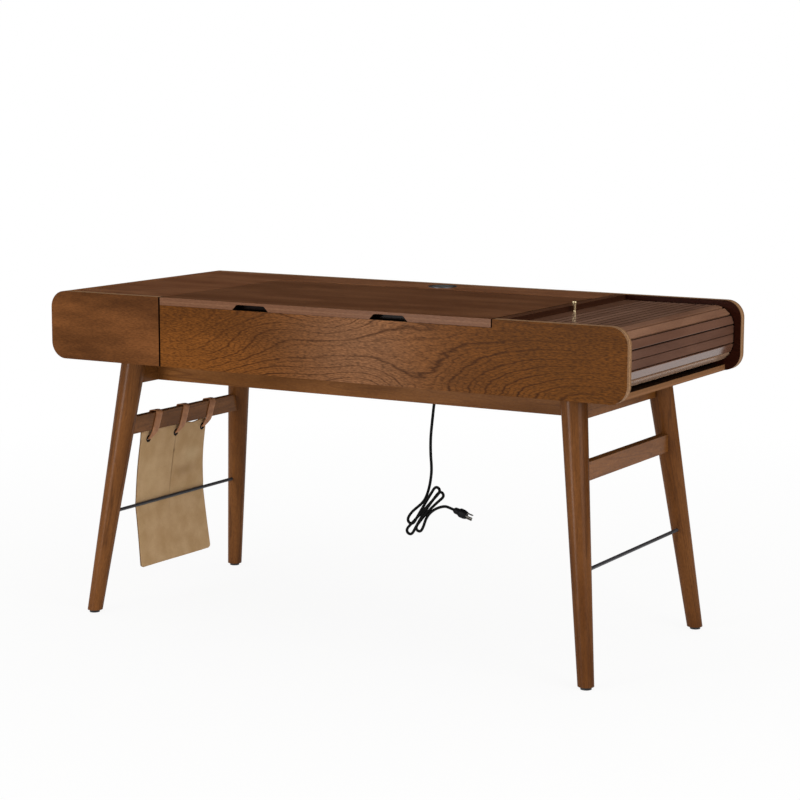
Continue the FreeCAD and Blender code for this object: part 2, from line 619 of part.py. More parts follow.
for side_name, sign in (("left", "-"), ("right", "")):
    tools = [leg_blanks["front", side_name], leg_blanks["back", side_name]]
    rail = board(
        f"side_rail_{side_name}_blank",
        (f"{sign}{rail_x} - rail_thickness / 2", f"-{LEG_TOP['y']}", rail_low),
        ("rail_thickness", f"2 * {LEG_TOP['y']}", "rail_height"),
    )
    keep(cut(f"side_rail_{side_name}", rail, tools))
    reach = leg_axis(stretcher_mid, "y")
    stretcher = board(
        f"stretcher_{side_name}_blank",
        (f"{sign}{leg_axis(stretcher_mid, 'x')} - stretcher_thickness / 2", f"-{reach}", stretcher_low),
        ("stretcher_thickness", f"2 * {reach}", "stretcher_height"),
    )
    keep(cut(f"stretcher_{side_name}", stretcher, tools))
    reach = leg_axis(rod_height, "y")
    start = (f"{sign}{leg_axis(rod_height, 'x')}", f"-{reach}", rod_height)
    rods.append(bar(f"{side_name}_rod", start, "y", "rod_diameter", f"2 * {reach}"))
for (depth_name, side_name), leg in leg_blanks.items():
    keep(cut(f"leg_{depth_name}_{side_name}", leg, [rods[side_name == "right"]]))
for label, start in (
    ("front_rail", f"{FRONT} + long_rail_inset"),
    ("back_rail", "overall_depth / 2 - long_rail_inset - rail_thickness"),
):
    keep(board(
        label,
        (f"rail_thickness / 2 - {rail_x}", start, rail_low),
        (f"2 * {rail_x} - rail_thickness", "rail_thickness", "rail_height"),
    ))
keep(group("foot_rods", rods))
keep(group("leg_glides", glides))

# Sling: a leather sheet that hangs from three straps and folds over the left rod
strap_x = f"(-{leg_axis(stretcher_mid, 'x')})"
strap_inner = "(stretcher_thickness / 2 + strap_gap)"
strap_low = f"({stretcher_low} - strap_drop)"
rod = V(-size(leg_axis(rod_height, "x")), 0, size(rod_height))
hang = size(f"{strap_x} - sling_hang") - rod.x + size("rod_diameter / 2 + sling_gap + sling_thickness / 2")
rise = size(strap_low) - rod.z
upper = math.atan2(hang, rise)
upper_length = (rise + size("sling_head")) / math.cos(upper)
lower_length = size(f"{rod_height} * sling_lower_share")
lower = math.radians(size("sling_lower_lean"))
half_depth = size("overall_depth / 2")


def sling_face(gap):
    """One face of the sheet: top edge, tangent at the rod, fold, tangent, lower edge."""
    reach = size("rod_diameter / 2") + gap
    start = rod + V(-math.cos(upper), 0, math.sin(upper)) * reach
    fold = rod + V(-math.cos((upper - lower) / 2), 0, math.sin((upper - lower) / 2)) * reach
    end = rod + V(-math.cos(lower), 0, -math.sin(lower)) * reach
    top = start + V(math.sin(upper), 0, math.cos(upper)) * upper_length
    foot = end + V(math.sin(lower), 0, -math.cos(lower)) * lower_length
    return [top, start, fold, end, foot]


near = sling_face(size("sling_gap"))
far = sling_face(size("sling_gap + sling_thickness"))
curves = []
for line in (near, far):
    curves += [Part.LineSegment(line[0], line[1]), Part.Arc(line[1], line[2], line[3])]
    curves.append(Part.LineSegment(line[3], line[4]))
curves += [Part.LineSegment(near[0], far[0]), Part.LineSegment(near[4], far[4])]
wire = Part.Wire(Part.__sortEdges__([curve.toShape() for curve in curves]))
sheet_shape = Part.Face(wire).extrude(V(0, 2 * half_depth, 0))
sheet_shape.translate(V(0, -half_depth, 0))
hanging = shaped("sling_sheet", sheet_shape)
margin = size("overrun")
sides = {}
for name, height in (("top", near[0].z + margin), ("low", min(near[4].z, far[4].z))):
    half_width = size(f"sling_{name}_width / 2")
    middle = -size(f"sling_{name}_middle")
    sides[name] = [V(0, middle - half_width, height), V(0, middle + half_width, height)]
corners = [sides["top"][0], sides["top"][1], sides["low"][1], sides["low"][0]]
outline_face = Part.Face(Part.makePolygon(corners + corners[:1]))
block = outline_face.extrude(V(2 * rod.x, 0, 0))
level = corners[2].z
low_edges = [edge for edge in block.Edges if max(abs(v.Z - level) for v in edge.Vertexes) < size("match")]
low_edges = [edge for edge in low_edges if abs(edge.Vertexes[0].X - edge.Vertexes[1].X) > margin]
outline_block = shaped("sling_outline", block.makeFillet(size("sling_corner"), low_edges))
trimmed = doc.addObject("Part::Common", "sling_trimmed")
trimmed.Base = hanging
trimmed.Tool = outline_block
doc.recompute()
eyelets = []
straps = []
for index in (-1, 0, 1):
    middle = f"({index} * strap_spacing - strap_middle)"
    outer_half = f"({strap_inner} + strap_thickness)"
    stretcher_top = f"({stretcher_low} + stretcher_height)"
    rings = []
    for kind, half_width, top, low in (
        ("outer", outer_half, f"({stretcher_top} + strap_gap + strap_thickness)", strap_low),
        ("inner", strap_inner, f"({stretcher_top} + strap_gap)", f"({strap_low} + strap_thickness)"),
    ):
        outline = [(f"({strap_x} - {half_width})", low), (f"({strap_x} + {half_width})", low)]
        outline += [(f"({strap_x} + {half_width})", top), (f"({strap_x} - {half_width})", top)]
        y_low = f"({middle} - strap_width / 2)"
        y_high = f"({middle} + strap_width / 2)"
        ring = slab(f"strap_{kind}_{index + 2}", "XZ", outline, y_low, y_high)
        rings.append(rounded(ring, "XZ", outline[:2], f"{half_width} - strap_gap"))
    straps.append(cut(f"strap_{index + 2}", rings[0], [rings[1]]))
    start = (f"{strap_x} - {outer_half}", middle, f"{strap_low} + strap_thickness / 2 + strap_gap")
    eyelets.append(bar(f"eyelet_{index + 2}", start, "x", "eyelet_diameter", f"2 * {outer_half}"))
keep(cut("sling", trimmed, eyelets))
keep(group("sling_straps", straps))

# Power: housing and bezel in the rear strip, strain relief, bush, cord with its hank, and plug
power_low = "(top_height - power_depth)"
keep(bar("power_housing", (*POWER, power_low), "z", "power_diameter", "power_depth + power_face_rise"))
ring = bar("bezel_stock", (*POWER, "top_height"), "z", "bezel_diameter", "bezel_height")
hole = bar("bezel_bore", (*POWER, "top_height"), "z", "power_diameter", "bezel_height")
keep(cut("power_bezel", ring, [hole]))
relief = doc.addObject("Part::Cone", "cord_relief")
relief.setExpression("Radius1", bound("relief_end_diameter / 2"))
relief.setExpression("Radius2", bound("relief_diameter / 2"))
relief.setExpression("Height", bound("relief_length"))
for axis, text in zip("xyz", (*POWER, f"{power_low} - relief_length")):
    relief.setExpression("Placement.Base." + axis, bound(text))
keep(relief)
bush_start = (*POWER, f"{CASE_LOW} - bush_rim")
bush_run = "bottom_thickness + 2 * bush_rim"
stock = bar("cord_bush_stock", bush_start, "z", "cord_bush_diameter", bush_run)
bore = bar("cord_bush_hole", bush_start, "z", "cord_bush_bore", bush_run)
keep(cut("cord_bush", stock, [bore]))
cord_start = V(*(size(text) for text in (*POWER, f"{power_low} - relief_length")))
LEAD = (
    (0, 0, 0), (0.8, 0.4, -26), (-0.8, 0.2, -56), (-6.5, -0.4, -92), (-14, -1, -134), (-21, -0.6, -178),
    (-26, 0.2, -222), (-30, 1, -264), (-29, 2, -304), (-26.4, 3, -342), (-29, 4, -374), (-37.5, 5, -404.5),
    (-56, 5, -429.5),
)
TAIL = ((0, 0, 0), (13.1, 0, 17.7), (25.1, 0.4, 36.1), (43.3, 0.8, 48.4), (65, 1, 52.2), (84, 1.2, 46.4))
BEND_SHARE = 0.45
STRAIGHT = 1e-6


def bent_line(points):
    """Straight runs joined by arcs that touch both; also the arcs' radii."""
    pieces = []
    radii = []
    last = points[0]
    for before, corner, after in zip(points, points[1:], points[2:]):
        arriving = (corner - before).normalize()
        leaving = (after - corner).normalize()
        half_turn = arriving.getAngle(leaving) / 2
        reach = BEND_SHARE * min((corner - before).Length, (after - corner).Length)
        radius = reach / math.tan(half_turn)
        bulge = (leaving - arriving).normalize() * (radius / math.cos(half_turn) - radius)
        pieces.append(Part.LineSegment(last, corner - arriving * reach))
        pieces.append(Part.Arc(corner - arriving * reach, corner + bulge, corner + leaving * reach))
        radii.append(radius)
        last = corner + leaving * reach
    pieces.append(Part.LineSegment(last, points[-1]))
    return Part.Wire([piece.toShape() for piece in pieces]), radii


def tube(label, wire, direction):
    """A cord along a wire; prints how its volume compares with section times length."""
    radius = size("cord_diameter / 2")
    start = wire.OrderedVertexes[0].Point
    section = Part.Wire([Part.makeCircle(radius, start, direction)])
    solid = wire.makePipeShell([section], True, False)
    share = solid.Volume / (math.pi * radius ** 2 * wire.Length)
    print(f"{label}: length {wire.Length:.1f}, volume over section times length {share:.4f}")
    return keep(shaped(label, solid))


lead_points = [cord_start + V(*offset) for offset in LEAD]
lead_wire, radii = bent_line(lead_points)
tube("cord_lead", lead_wire, lead_points[1] - lead_points[0])
print("cord_lead radii", [round(radius, 1) for radius in radii])
hank_axis = (lead_points[-2] - lead_points[-1]).normalize()
hank_side = V(hank_axis.z, 0, -hank_axis.x)
HANK_START = (5, -16)
LOWER = ((-50, -8, 13), (-62, 2, 11), (-28, 12, 12))
UPPER = ((58, -4, 8), (53, 6, 9))


def hank_spot(along, across, layer):
    """A point from its place along the hank, across it and on one of its layers."""
    place = lead_points[-1] + hank_axis * (along - HANK_START[0]) + hank_side * (across - HANK_START[1])
    return place - V(0, layer * size("hank_step"), 0)


def sweep(start, tangent, end):
    """The arc that leaves its start along a tangent."""
    chord = end - start
    heading = V(chord).normalize()
    aside = tangent - heading * tangent.dot(heading)
    if aside.Length < STRAIGHT:
        return Part.LineSegment(start, end)
    half_turn = tangent.getAngle(chord) / 2
    bulge = aside.normalize() * (chord.Length / 2 * math.tan(half_turn))
    return Part.Arc(start, start + chord / 2 + bulge, end)


def run_between(start, end, tangent):
    """Two arcs that carry the cord from one bend to the next, with the same heading at both ends."""
    middle = (start + end) / 2
    first_arc = sweep(start, tangent, middle)
    chord = (middle - start).normalize()
    turned = chord * (2 * tangent.dot(chord)) - tangent
    return [first_arc, sweep(middle, turned, end)]


pieces = []
last = hank_spot(*HANK_START, 0)
for layer, (along, across, radius) in enumerate(LOWER):
    bend = [hank_spot(along, across - radius, layer), hank_spot(along - radius, across, layer)]
    bend.append(hank_spot(along, across + radius, layer))
    pieces += run_between(last, bend[0], -hank_axis) + [Part.Arc(*bend)]
    last = bend[2]
    if layer < len(UPPER):
        along, across, radius = UPPER[layer]
        bend = [hank_spot(along, across + radius, layer + 1), hank_spot(along + radius, across, layer + 1)]
        bend.append(hank_spot(along, across - radius, layer + 1))
        pieces += run_between(last, bend[0], hank_axis) + [Part.Arc(*bend)]
        last = bend[2]
hank_wire = Part.Wire([piece.toShape() for piece in pieces])
tube("cord_hank", hank_wire, -hank_axis)
spacing = size("cord_diameter / 4")
marks = [point for piece in pieces for point in piece.toShape().discretize(Distance=spacing)]
apart = math.ceil(size("cord_diameter") * math.pi / spacing)
least = min((p - q).Length for i, p in enumerate(marks) for q in marks[i + apart:])
print(f"cord_hank: least gap between turns {least - size('cord_diameter'):.2f}")
tail_points = [last + V(*offset) for offset in TAIL]
tail_points[1] = last + hank_axis * (tail_points[1] - last).Length
tail_wire, radii = bent_line(tail_points)
tube("cord_tail", tail_wire, hank_axis)
print("cord_tail radii", [round(radius, 1) for radius in radii])
length = size("plug_length")
neck = size("plug_neck_diameter / 2")
wide = size("plug_width / 2")
deep = size("plug_height / 2")
NECK_SHARES = ((0, 0, 0), (0.1, 0.4, 0.45), (0.34, 0.45, 0.5), (0.5, 1, 1), (0.8, 0.95, 0.95), (1, 0.6, 0.6))
stations = []
for along, wide_share, deep_share in NECK_SHARES:
    centre = V(length * along, 0, 0)
    across = neck + (wide - neck) * wide_share
    up = neck + (deep - neck) * deep_share
    ellipse = Part.Ellipse(centre + V(0, across, 0), centre + V(0, 0, up), centre)
    stations.append(Part.Wire([ellipse.toShape()]))
moulding = Part.makeLoft(stations, True, True)
blade_spans = [size(name) for name in ("blade_length", "blade_thickness", "blade_width")]
metal = []
for side in (-1, 1):
    middle = side * size("blade_spacing / 2")
    metal.append(Part.makeBox(*blade_spans, V(length, middle - blade_spans[1] / 2, -blade_spans[2] / 2)))
pin_radius = size("earth_pin_diameter / 2")
pin_place = V(length, 0, -size("earth_pin_drop"))
metal.append(Part.makeCylinder(pin_radius, blade_spans[0] * size("earth_pin_share"), pin_place, V(1, 0, 0)))
plug = shaped("plug", Part.makeCompound([moulding] + metal))
roll = FreeCAD.Rotation(V(1, 0, 0), size("plug_roll"))
heading = FreeCAD.Rotation(V(1, 0, 0), tail_points[-1] - tail_points[-2])
plug.Placement = FreeCAD.Placement(tail_points[-1], heading * roll)
keep(plug)

# Every object is checked before the sub-parts are written
doc.recompute()
for thing in doc.Objects:
    if {"Invalid", "Error"} & set(thing.State):
        raise RuntimeError(f"{thing.Label}: {thing.State}")
for thing in nodes:
    if thing.Shape.isNull() or not thing.Shape.isValid():
        raise RuntimeError(f"{thing.Label}: no valid shape")
os.makedirs("parts", exist_ok=True)
for thing in nodes:
    thing.Shape.exportStep(f"parts/{thing.Label}.step")
print(len(nodes), "sub-parts")
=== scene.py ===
import math

import bmesh
import bpy
from mathutils import Matrix, Vector


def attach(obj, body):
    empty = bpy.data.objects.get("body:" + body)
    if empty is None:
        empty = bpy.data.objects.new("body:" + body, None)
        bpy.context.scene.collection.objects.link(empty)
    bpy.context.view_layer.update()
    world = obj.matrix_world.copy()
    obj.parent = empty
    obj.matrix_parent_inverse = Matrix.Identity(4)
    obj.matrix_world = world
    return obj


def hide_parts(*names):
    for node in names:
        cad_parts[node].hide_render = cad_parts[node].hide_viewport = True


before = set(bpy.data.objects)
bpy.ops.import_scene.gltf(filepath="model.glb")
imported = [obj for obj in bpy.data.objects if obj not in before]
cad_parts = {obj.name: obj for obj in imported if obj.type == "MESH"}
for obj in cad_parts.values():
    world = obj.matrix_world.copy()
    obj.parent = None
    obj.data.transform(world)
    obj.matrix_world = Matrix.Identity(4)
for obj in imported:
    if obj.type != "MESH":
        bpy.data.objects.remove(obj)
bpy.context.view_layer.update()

# Studio: a pale seamless floor under an even sky, a soft box on the floor to the front left and a weaker
# fill to the right. A black flat stands behind the desk, out of the picture, and keeps glare off the
# lacquered top.
SKY_LEVEL = 0.74
FLOOR_RADIUS = 40.0
FLOOR_SIDES = 96
FLOOR_COLOUR = "#f4f3f1"
# How white the floor looks by the desk, where it keeps some of the shadow, and further off, and the distances
# between which that changes
FLOOR_WHITE_SHARES = (0.9, 1.0)
FLOOR_WHITE_REACH = (0.9, 3.0)
# Each soft box: name, place, the point it is turned to, width and height, and power in watts
SOFT_BOXES = (
    ("key_box", (-1.6, -4.4, 0.87), (0.1, 0.0, 0.6), (1.5, 1.7), 84.0),
    ("fill_box", (4.2, -1.3, 1.7), (0.2, 0.0, 0.4), (2.4, 2.4), 66.0),
)
FLAT_CORNERS = ((-9.0, 3.2, 0.0), (7.0, 3.2, 0.0), (7.0, 3.2, 5.5), (-9.0, 3.2, 5.5))
FLAT_COLOUR = "#161310"


def tint(code):
    """An sRGB hex colour as the linear values that Blender's sockets take."""
    parts = [int(code[start:start + 2], 16) / 255 for start in (1, 3, 5)]
    return (*(p / 12.92 if p <= 0.04045 else ((p + 0.055) / 1.055) ** 2.4 for p in parts), 1.0)


def add_node(tree, kind, inputs=None, stops=(), **settings):
    """Adds one node; inputs are values for its sockets, or the nodes and outputs that feed them."""
    made = tree.nodes.new(kind)
    for name, value in settings.items():
        setattr(made, name, value)
    for key, value in (inputs or {}).items():
        if isinstance(value, bpy.types.Node):
            value = value.outputs[0]
        if isinstance(value, bpy.types.NodeSocket):
            tree.links.new(value, made.inputs[key])
        else:
            made.inputs[key].default_value = value
    if stops:
        elements = made.color_ramp.elements
        for element, (place, colour) in zip((elements[0], elements[1]), (stops[0], stops[-1])):
            element.position = place
            element.color = colour
        for place, colour in stops[1:-1]:
            elements.new(place).color = colour
    return made


def add_mesh(name, points, faces, *materials):
    """A new object from its corner points and faces, in the desk's own frame."""
    mesh = bpy.data.meshes.new(name)
    mesh.from_pydata([tuple(point) for point in points], [], faces)
    for material in materials:
        mesh.materials.append(material)
    made = bpy.data.objects.new(name, mesh)
    bpy.context.scene.collection.objects.link(made)
    return made


def round_points(radius, sides):
    """Points evenly spaced round a circle, as pairs."""
    turns = [2 * math.pi * side / sides for side in range(sides)]
    return [(radius * math.cos(turn), radius * math.sin(turn)) for turn in turns]


def background_rays(tree):
    """1 for the rays that see the white background, straight or through a reflection or glass."""
    path = add_node(tree, "ShaderNodeLightPath").outputs
    seen = add_node(
        tree, "ShaderNodeMath", {0: path["Is Camera Ray"], 1: path["Is Glossy Ray"]}, operation="MAXIMUM"
    )
    return add_node(tree, "ShaderNodeMath", {0: seen, 1: path["Is Transmission Ray"]}, operation="MAXIMUM")


scene = bpy.context.scene
scene.view_settings.view_transform = "Standard"
world = bpy.data.worlds.new("even_sky")
scene.world = world
world.use_nodes = True
sky = world.node_tree
sky.nodes.clear()
strength = add_node(
    sky, "ShaderNodeMath", {0: background_rays(sky), 1: 1 - SKY_LEVEL, 2: SKY_LEVEL}, operation="MULTIPLY_ADD"
)
even = add_node(sky, "ShaderNodeBackground", {"Color": (1, 1, 1, 1), "Strength": strength})
add_node(sky, "ShaderNodeOutputWorld", {"Surface": even})

# Matt painted studio floor: white to the eye, and still darker where the desk stands in its light
painted_floor = bpy.data.materials.new("matt_white_floor")
painted_floor.use_nodes = True
tree = painted_floor.node_tree
tree.nodes.clear()
spot = add_node(tree, "ShaderNodeTexCoord").outputs["Object"]
away = add_node(tree, "ShaderNodeVectorMath", {0: spot}, operation="LENGTH").outputs["Value"]
near, far = FLOOR_WHITE_REACH
shaded, open_floor = FLOOR_WHITE_SHARES
share = add_node(tree, "ShaderNodeMapRange", {0: away, 1: near, 2: far, 3: shaded, 4: open_floor})
share = add_node(tree, "ShaderNodeMath", {0: background_rays(tree), 1: share}, operation="MULTIPLY")
paint = add_node(tree, "ShaderNodeBsdfDiffuse", {"Color": tint(FLOOR_COLOUR)})
white = add_node(tree, "ShaderNodeEmission", {"Color": (1, 1, 1, 1), "Strength": 1.0})
mixed = add_node(tree, "ShaderNodeMixShader", {0: share, 1: paint, 2: white})
add_node(tree, "ShaderNodeOutputMaterial", {"Surface": mixed})
rim = [(x, y, 0.0) for x, y in round_points(FLOOR_RADIUS, FLOOR_SIDES)]
floor = add_mesh("studio_floor", rim, [list(range(FLOOR_SIDES))], painted_floor)

# Black cotton cloth: matt, and seen only as the dark that the lacquer mirrors
black_cloth = bpy.data.materials.new("black_flat_cloth")
black_cloth.use_nodes = True
tree = black_cloth.node_tree
tree.nodes.clear()
cloth = add_node(tree, "ShaderNodeBsdfDiffuse", {"Color": tint(FLAT_COLOUR)})
add_node(tree, "ShaderNodeOutputMaterial", {"Surface": cloth})
flat = add_mesh("studio_black_flat", FLAT_CORNERS, [[0, 1, 2, 3]], black_cloth)
flat.visible_camera = False
flat.visible_diffuse = False
flat.visible_transmission = False
flat.visible_shadow = False

for name, place, aim, extent, power in SOFT_BOXES:
    light = bpy.data.lights.new(name, "AREA")
    light.shape = "RECTANGLE"
    light.size, light.size_y = extent
    light.energy = power
    lamp = bpy.data.objects.new(name, light)
    lamp.location = place
    lamp.rotation_euler = (Vector(aim) - Vector(place)).to_track_quat("-Z", "Y").to_euler()
    scene.collection.objects.link(lamp)

# Camera: at chest height, in front of the desk's right end, with a long lens, as in the photograph.
# Its heading, dip and tilt are in radians.
CAMERA_PLACE = (2.5174, -4.2625, 1.2624)
CAMERA_HEADING = -0.52963
CAMERA_DIP = 0.14605
CAMERA_TILT = 0.0021
CAMERA_LENS = 97.79
CAMERA_SENSOR = 36
CAMERA_SHIFT = (0.00093, -0.0079)
camera = bpy.data.objects.new("camera", bpy.data.cameras.new("camera"))
forward = math.cos(CAMERA_DIP)
ahead = Vector((
    math.sin(CAMERA_HEADING) * forward, math.cos(CAMERA_HEADING) * forward, -math.sin(CAMERA_DIP),
))
level = Vector((math.cos(CAMERA_HEADING), -math.sin(CAMERA_HEADING), 0))
above = level.cross(ahead)
right = level * math.cos(CAMERA_TILT) + above * math.sin(CAMERA_TILT)
up = right.cross(ahead)
facing = Matrix((right, up, -ahead)).transposed().to_4x4()
camera.matrix_world = Matrix.Translation(CAMERA_PLACE) @ facing
camera.data.sensor_width = CAMERA_SENSOR
camera.data.lens = CAMERA_LENS
camera.data.shift_x, camera.data.shift_y = CAMERA_SHIFT
scene.collection.objects.link(camera)
scene.camera = camera

# Case: veneered boards round a drawer, a lidded well and a tambour, glued and dowelled to the bottom board.
# The veneer is walnut, stained and lacquered, with the plywood's layers bare along the boards' edges.
MM = 0.001
# Length along and across the fibre, in millimetres, of the pores' flecks, which are drawn several times as
# wide as real ones so that they show, of the rings' shiver, and of the clouds of stain
FLECK = (9, 1.9)
SHIVER = (70, 9)
STAIN = (300, 70)
# Across one year's growth: part of the way, and how dark the wood is there; late wood at both ends is darkest
RING_PROFILE = (
    (0.0, 1.0), (0.045, 0.8), (0.1, 0.2), (0.18, 0.0), (0.3, 0.0), (0.34, 0.5), (0.4, 0.0), (0.62, 0.0),
    (0.67, 0.6), (0.74, 0.05), (0.89, 0.0), (0.96, 0.6), (1.0, 1.0),
)
# Near black, for painted shade in the seams, under the lid, in the lid's notches and at the slats' ends
PAINTED_SHADE_COLOUR = "#140a06"
EDGE_LACQUER = 0.05
# A face counts as a board's edge, or as its inner side, by how far its normal leans
EDGE_LEAN = 0.72
INNER_LEAN = -0.7
PLY_LAYER = 0.0033
# How far apart, in metres, the pieces that are cut from one board may lie in it
PIECE_SHIFT = (3.7, 5.3, 4.1)


def new_finish(name, sockets):
    """A material that is one shader, with the values that are the same all over set on its sockets."""
    made = bpy.data.materials.new(name)
    made.use_nodes = True
    tree = made.node_tree
    tree.nodes.clear()
    shader = add_node(tree, "ShaderNodeBsdfPrincipled", sockets)
    add_node(tree, "ShaderNodeOutputMaterial", {"Surface": shader})
    return made, tree, shader


def grey(level):
    """A grey of that level, as a colour socket takes it."""
    return (level, level, level, 1)


def bell(tree, place, middle, sizes):
    """1 at a place in the board, falling smoothly to nothing over its sizes; a size of 0 has no end."""
    shrink = [1 / size if size else 0 for size in sizes]
    off = add_node(tree, "ShaderNodeVectorMath", {0: place, 1: middle}, operation="SUBTRACT")
    off = add_node(tree, "ShaderNodeVectorMath", {0: off, 1: shrink}, operation="MULTIPLY")
    far = add_node(tree, "ShaderNodeVectorMath", {0: off, 1: off}, operation="DOT_PRODUCT").outputs["Value"]
    return add_node(tree, "ShaderNodeMath", {0: math.exp(-1), 1: far}, operation="POWER")


def upright_place(tree, split, splay):
    """A place on a leg with the splay taken out, so that the grain runs along the leg."""
    place = {"Z": split.outputs["Z"]}
    for axis in "XY":
        size = add_node(tree, "ShaderNodeMath", {0: split.outputs[axis]}, operation="ABSOLUTE")
        place[axis] = add_node(
            tree, "ShaderNodeMath", {0: split.outputs["Z"], 1: splay, 2: size}, operation="MULTIPLY_ADD"
        )
    return add_node(tree, "ShaderNodeCombineXYZ", place).outputs[0]


def wood_fields(tree, place, fibre, figure):
    """Noise drawn out along the fibre: the rings' wander and shiver, the pores' flecks and the stain."""
    field = {}
    for label, (along, across), detail in (
        ("wander", figure, 2.0), ("shiver", SHIVER, 2.0), ("fleck", FLECK, 3.0), ("stain", STAIN, 3.0)
    ):
        scale = [1 / (across * MM)] * 3
        scale["XYZ".index(fibre)] = 1 / (along * MM)
        drawn = add_node(tree, "ShaderNodeMapping", {"Vector": place, "Scale": scale})
        field[label] = add_node(tree, "ShaderNodeTexNoise", {"Vector": drawn, "Scale": 1.0, "Detail": detail})
    return field


def ring_lines(tree, place, field, rings, first, waver, slope, hills, lines, quiet):
    """Growth rings as contour lines of a slow field; hills close them into arches, quiet places fade them."""
    height = add_node(
        tree, "ShaderNodeMath", {0: field["wander"], 1: rings, 2: first}, operation="MULTIPLY_ADD"
    )
    height = add_node(
        tree, "ShaderNodeMath", {0: field["shiver"], 1: waver, 2: height}, operation="MULTIPLY_ADD"
    )
    if any(slope):
        rise = add_node(tree, "ShaderNodeVectorMath", {0: place, 1: slope}, operation="DOT_PRODUCT")
        height = add_node(tree, "ShaderNodeMath", {0: rise.outputs["Value"], 1: height}, operation="ADD")
    for middle, sizes, count in hills:
        hill = bell(tree, place, middle, sizes)
        height = add_node(tree, "ShaderNodeMath", {0: hill, 1: count, 2: height}, operation="MULTIPLY_ADD")
    ring = add_node(tree, "ShaderNodeMath", {0: height}, operation="FRACT")
    stops = [(part, grey(dark * lines)) for part, dark in RING_PROFILE]
    drawn = add_node(tree, "ShaderNodeValToRGB", {0: ring}, stops=stops)
    faded = add_node(tree, "ShaderNodeMapRange", {0: field["stain"], 1: 0.35, 2: 0.6, 3: 0.55, 4: 1.0})
    drawn = add_node(tree, "ShaderNodeMath", {0: drawn, 1: faded}, operation="MULTIPLY")
    for middle, sizes in quiet:
        plain = add_node(tree, "ShaderNodeMapRange", {0: bell(tree, place, middle, sizes), 3: 1.0, 4: 0.2})
        drawn = add_node(tree, "ShaderNodeMath", {0: drawn, 1: plain}, operation="MULTIPLY")
    return drawn


def bare_edge(tree, split, facing, colours, hidden):
    """Where a board's edge is, and the layers of its plies there, with painted shade along its hidden
    stretch.
    """
    axis, pale, dark = colours
    lean = add_node(tree, "ShaderNodeMath", {0: facing.outputs[axis]}, operation="ABSOLUTE")
    along_edge = add_node(tree, "ShaderNodeMath", {0: lean, 1: EDGE_LEAN}, operation="LESS_THAN")
    count = add_node(tree, "ShaderNodeMath", {0: split.outputs[axis], 1: 1 / PLY_LAYER}, operation="MULTIPLY")
    layer = add_node(tree, "ShaderNodeMath", {0: count, 1: 2.0}, operation="PINGPONG")
    plies = add_node(tree, "ShaderNodeValToRGB", {0: layer}, stops=((0.35, tint(pale)), (0.65, tint(dark))))
    if hidden:
        axis, low, high = hidden
        span = {0: split.outputs[axis], 1: (low + high) / 2, 2: (high - low) / 2}
        unseen = add_node(tree, "ShaderNodeMath", span, operation="COMPARE")
        shades = {"Fac": unseen, "Color1": plies, "Color2": tint(PAINTED_SHADE_COLOUR)}
        plies = add_node(tree, "ShaderNodeMixRGB", shades)
    return along_edge, plies


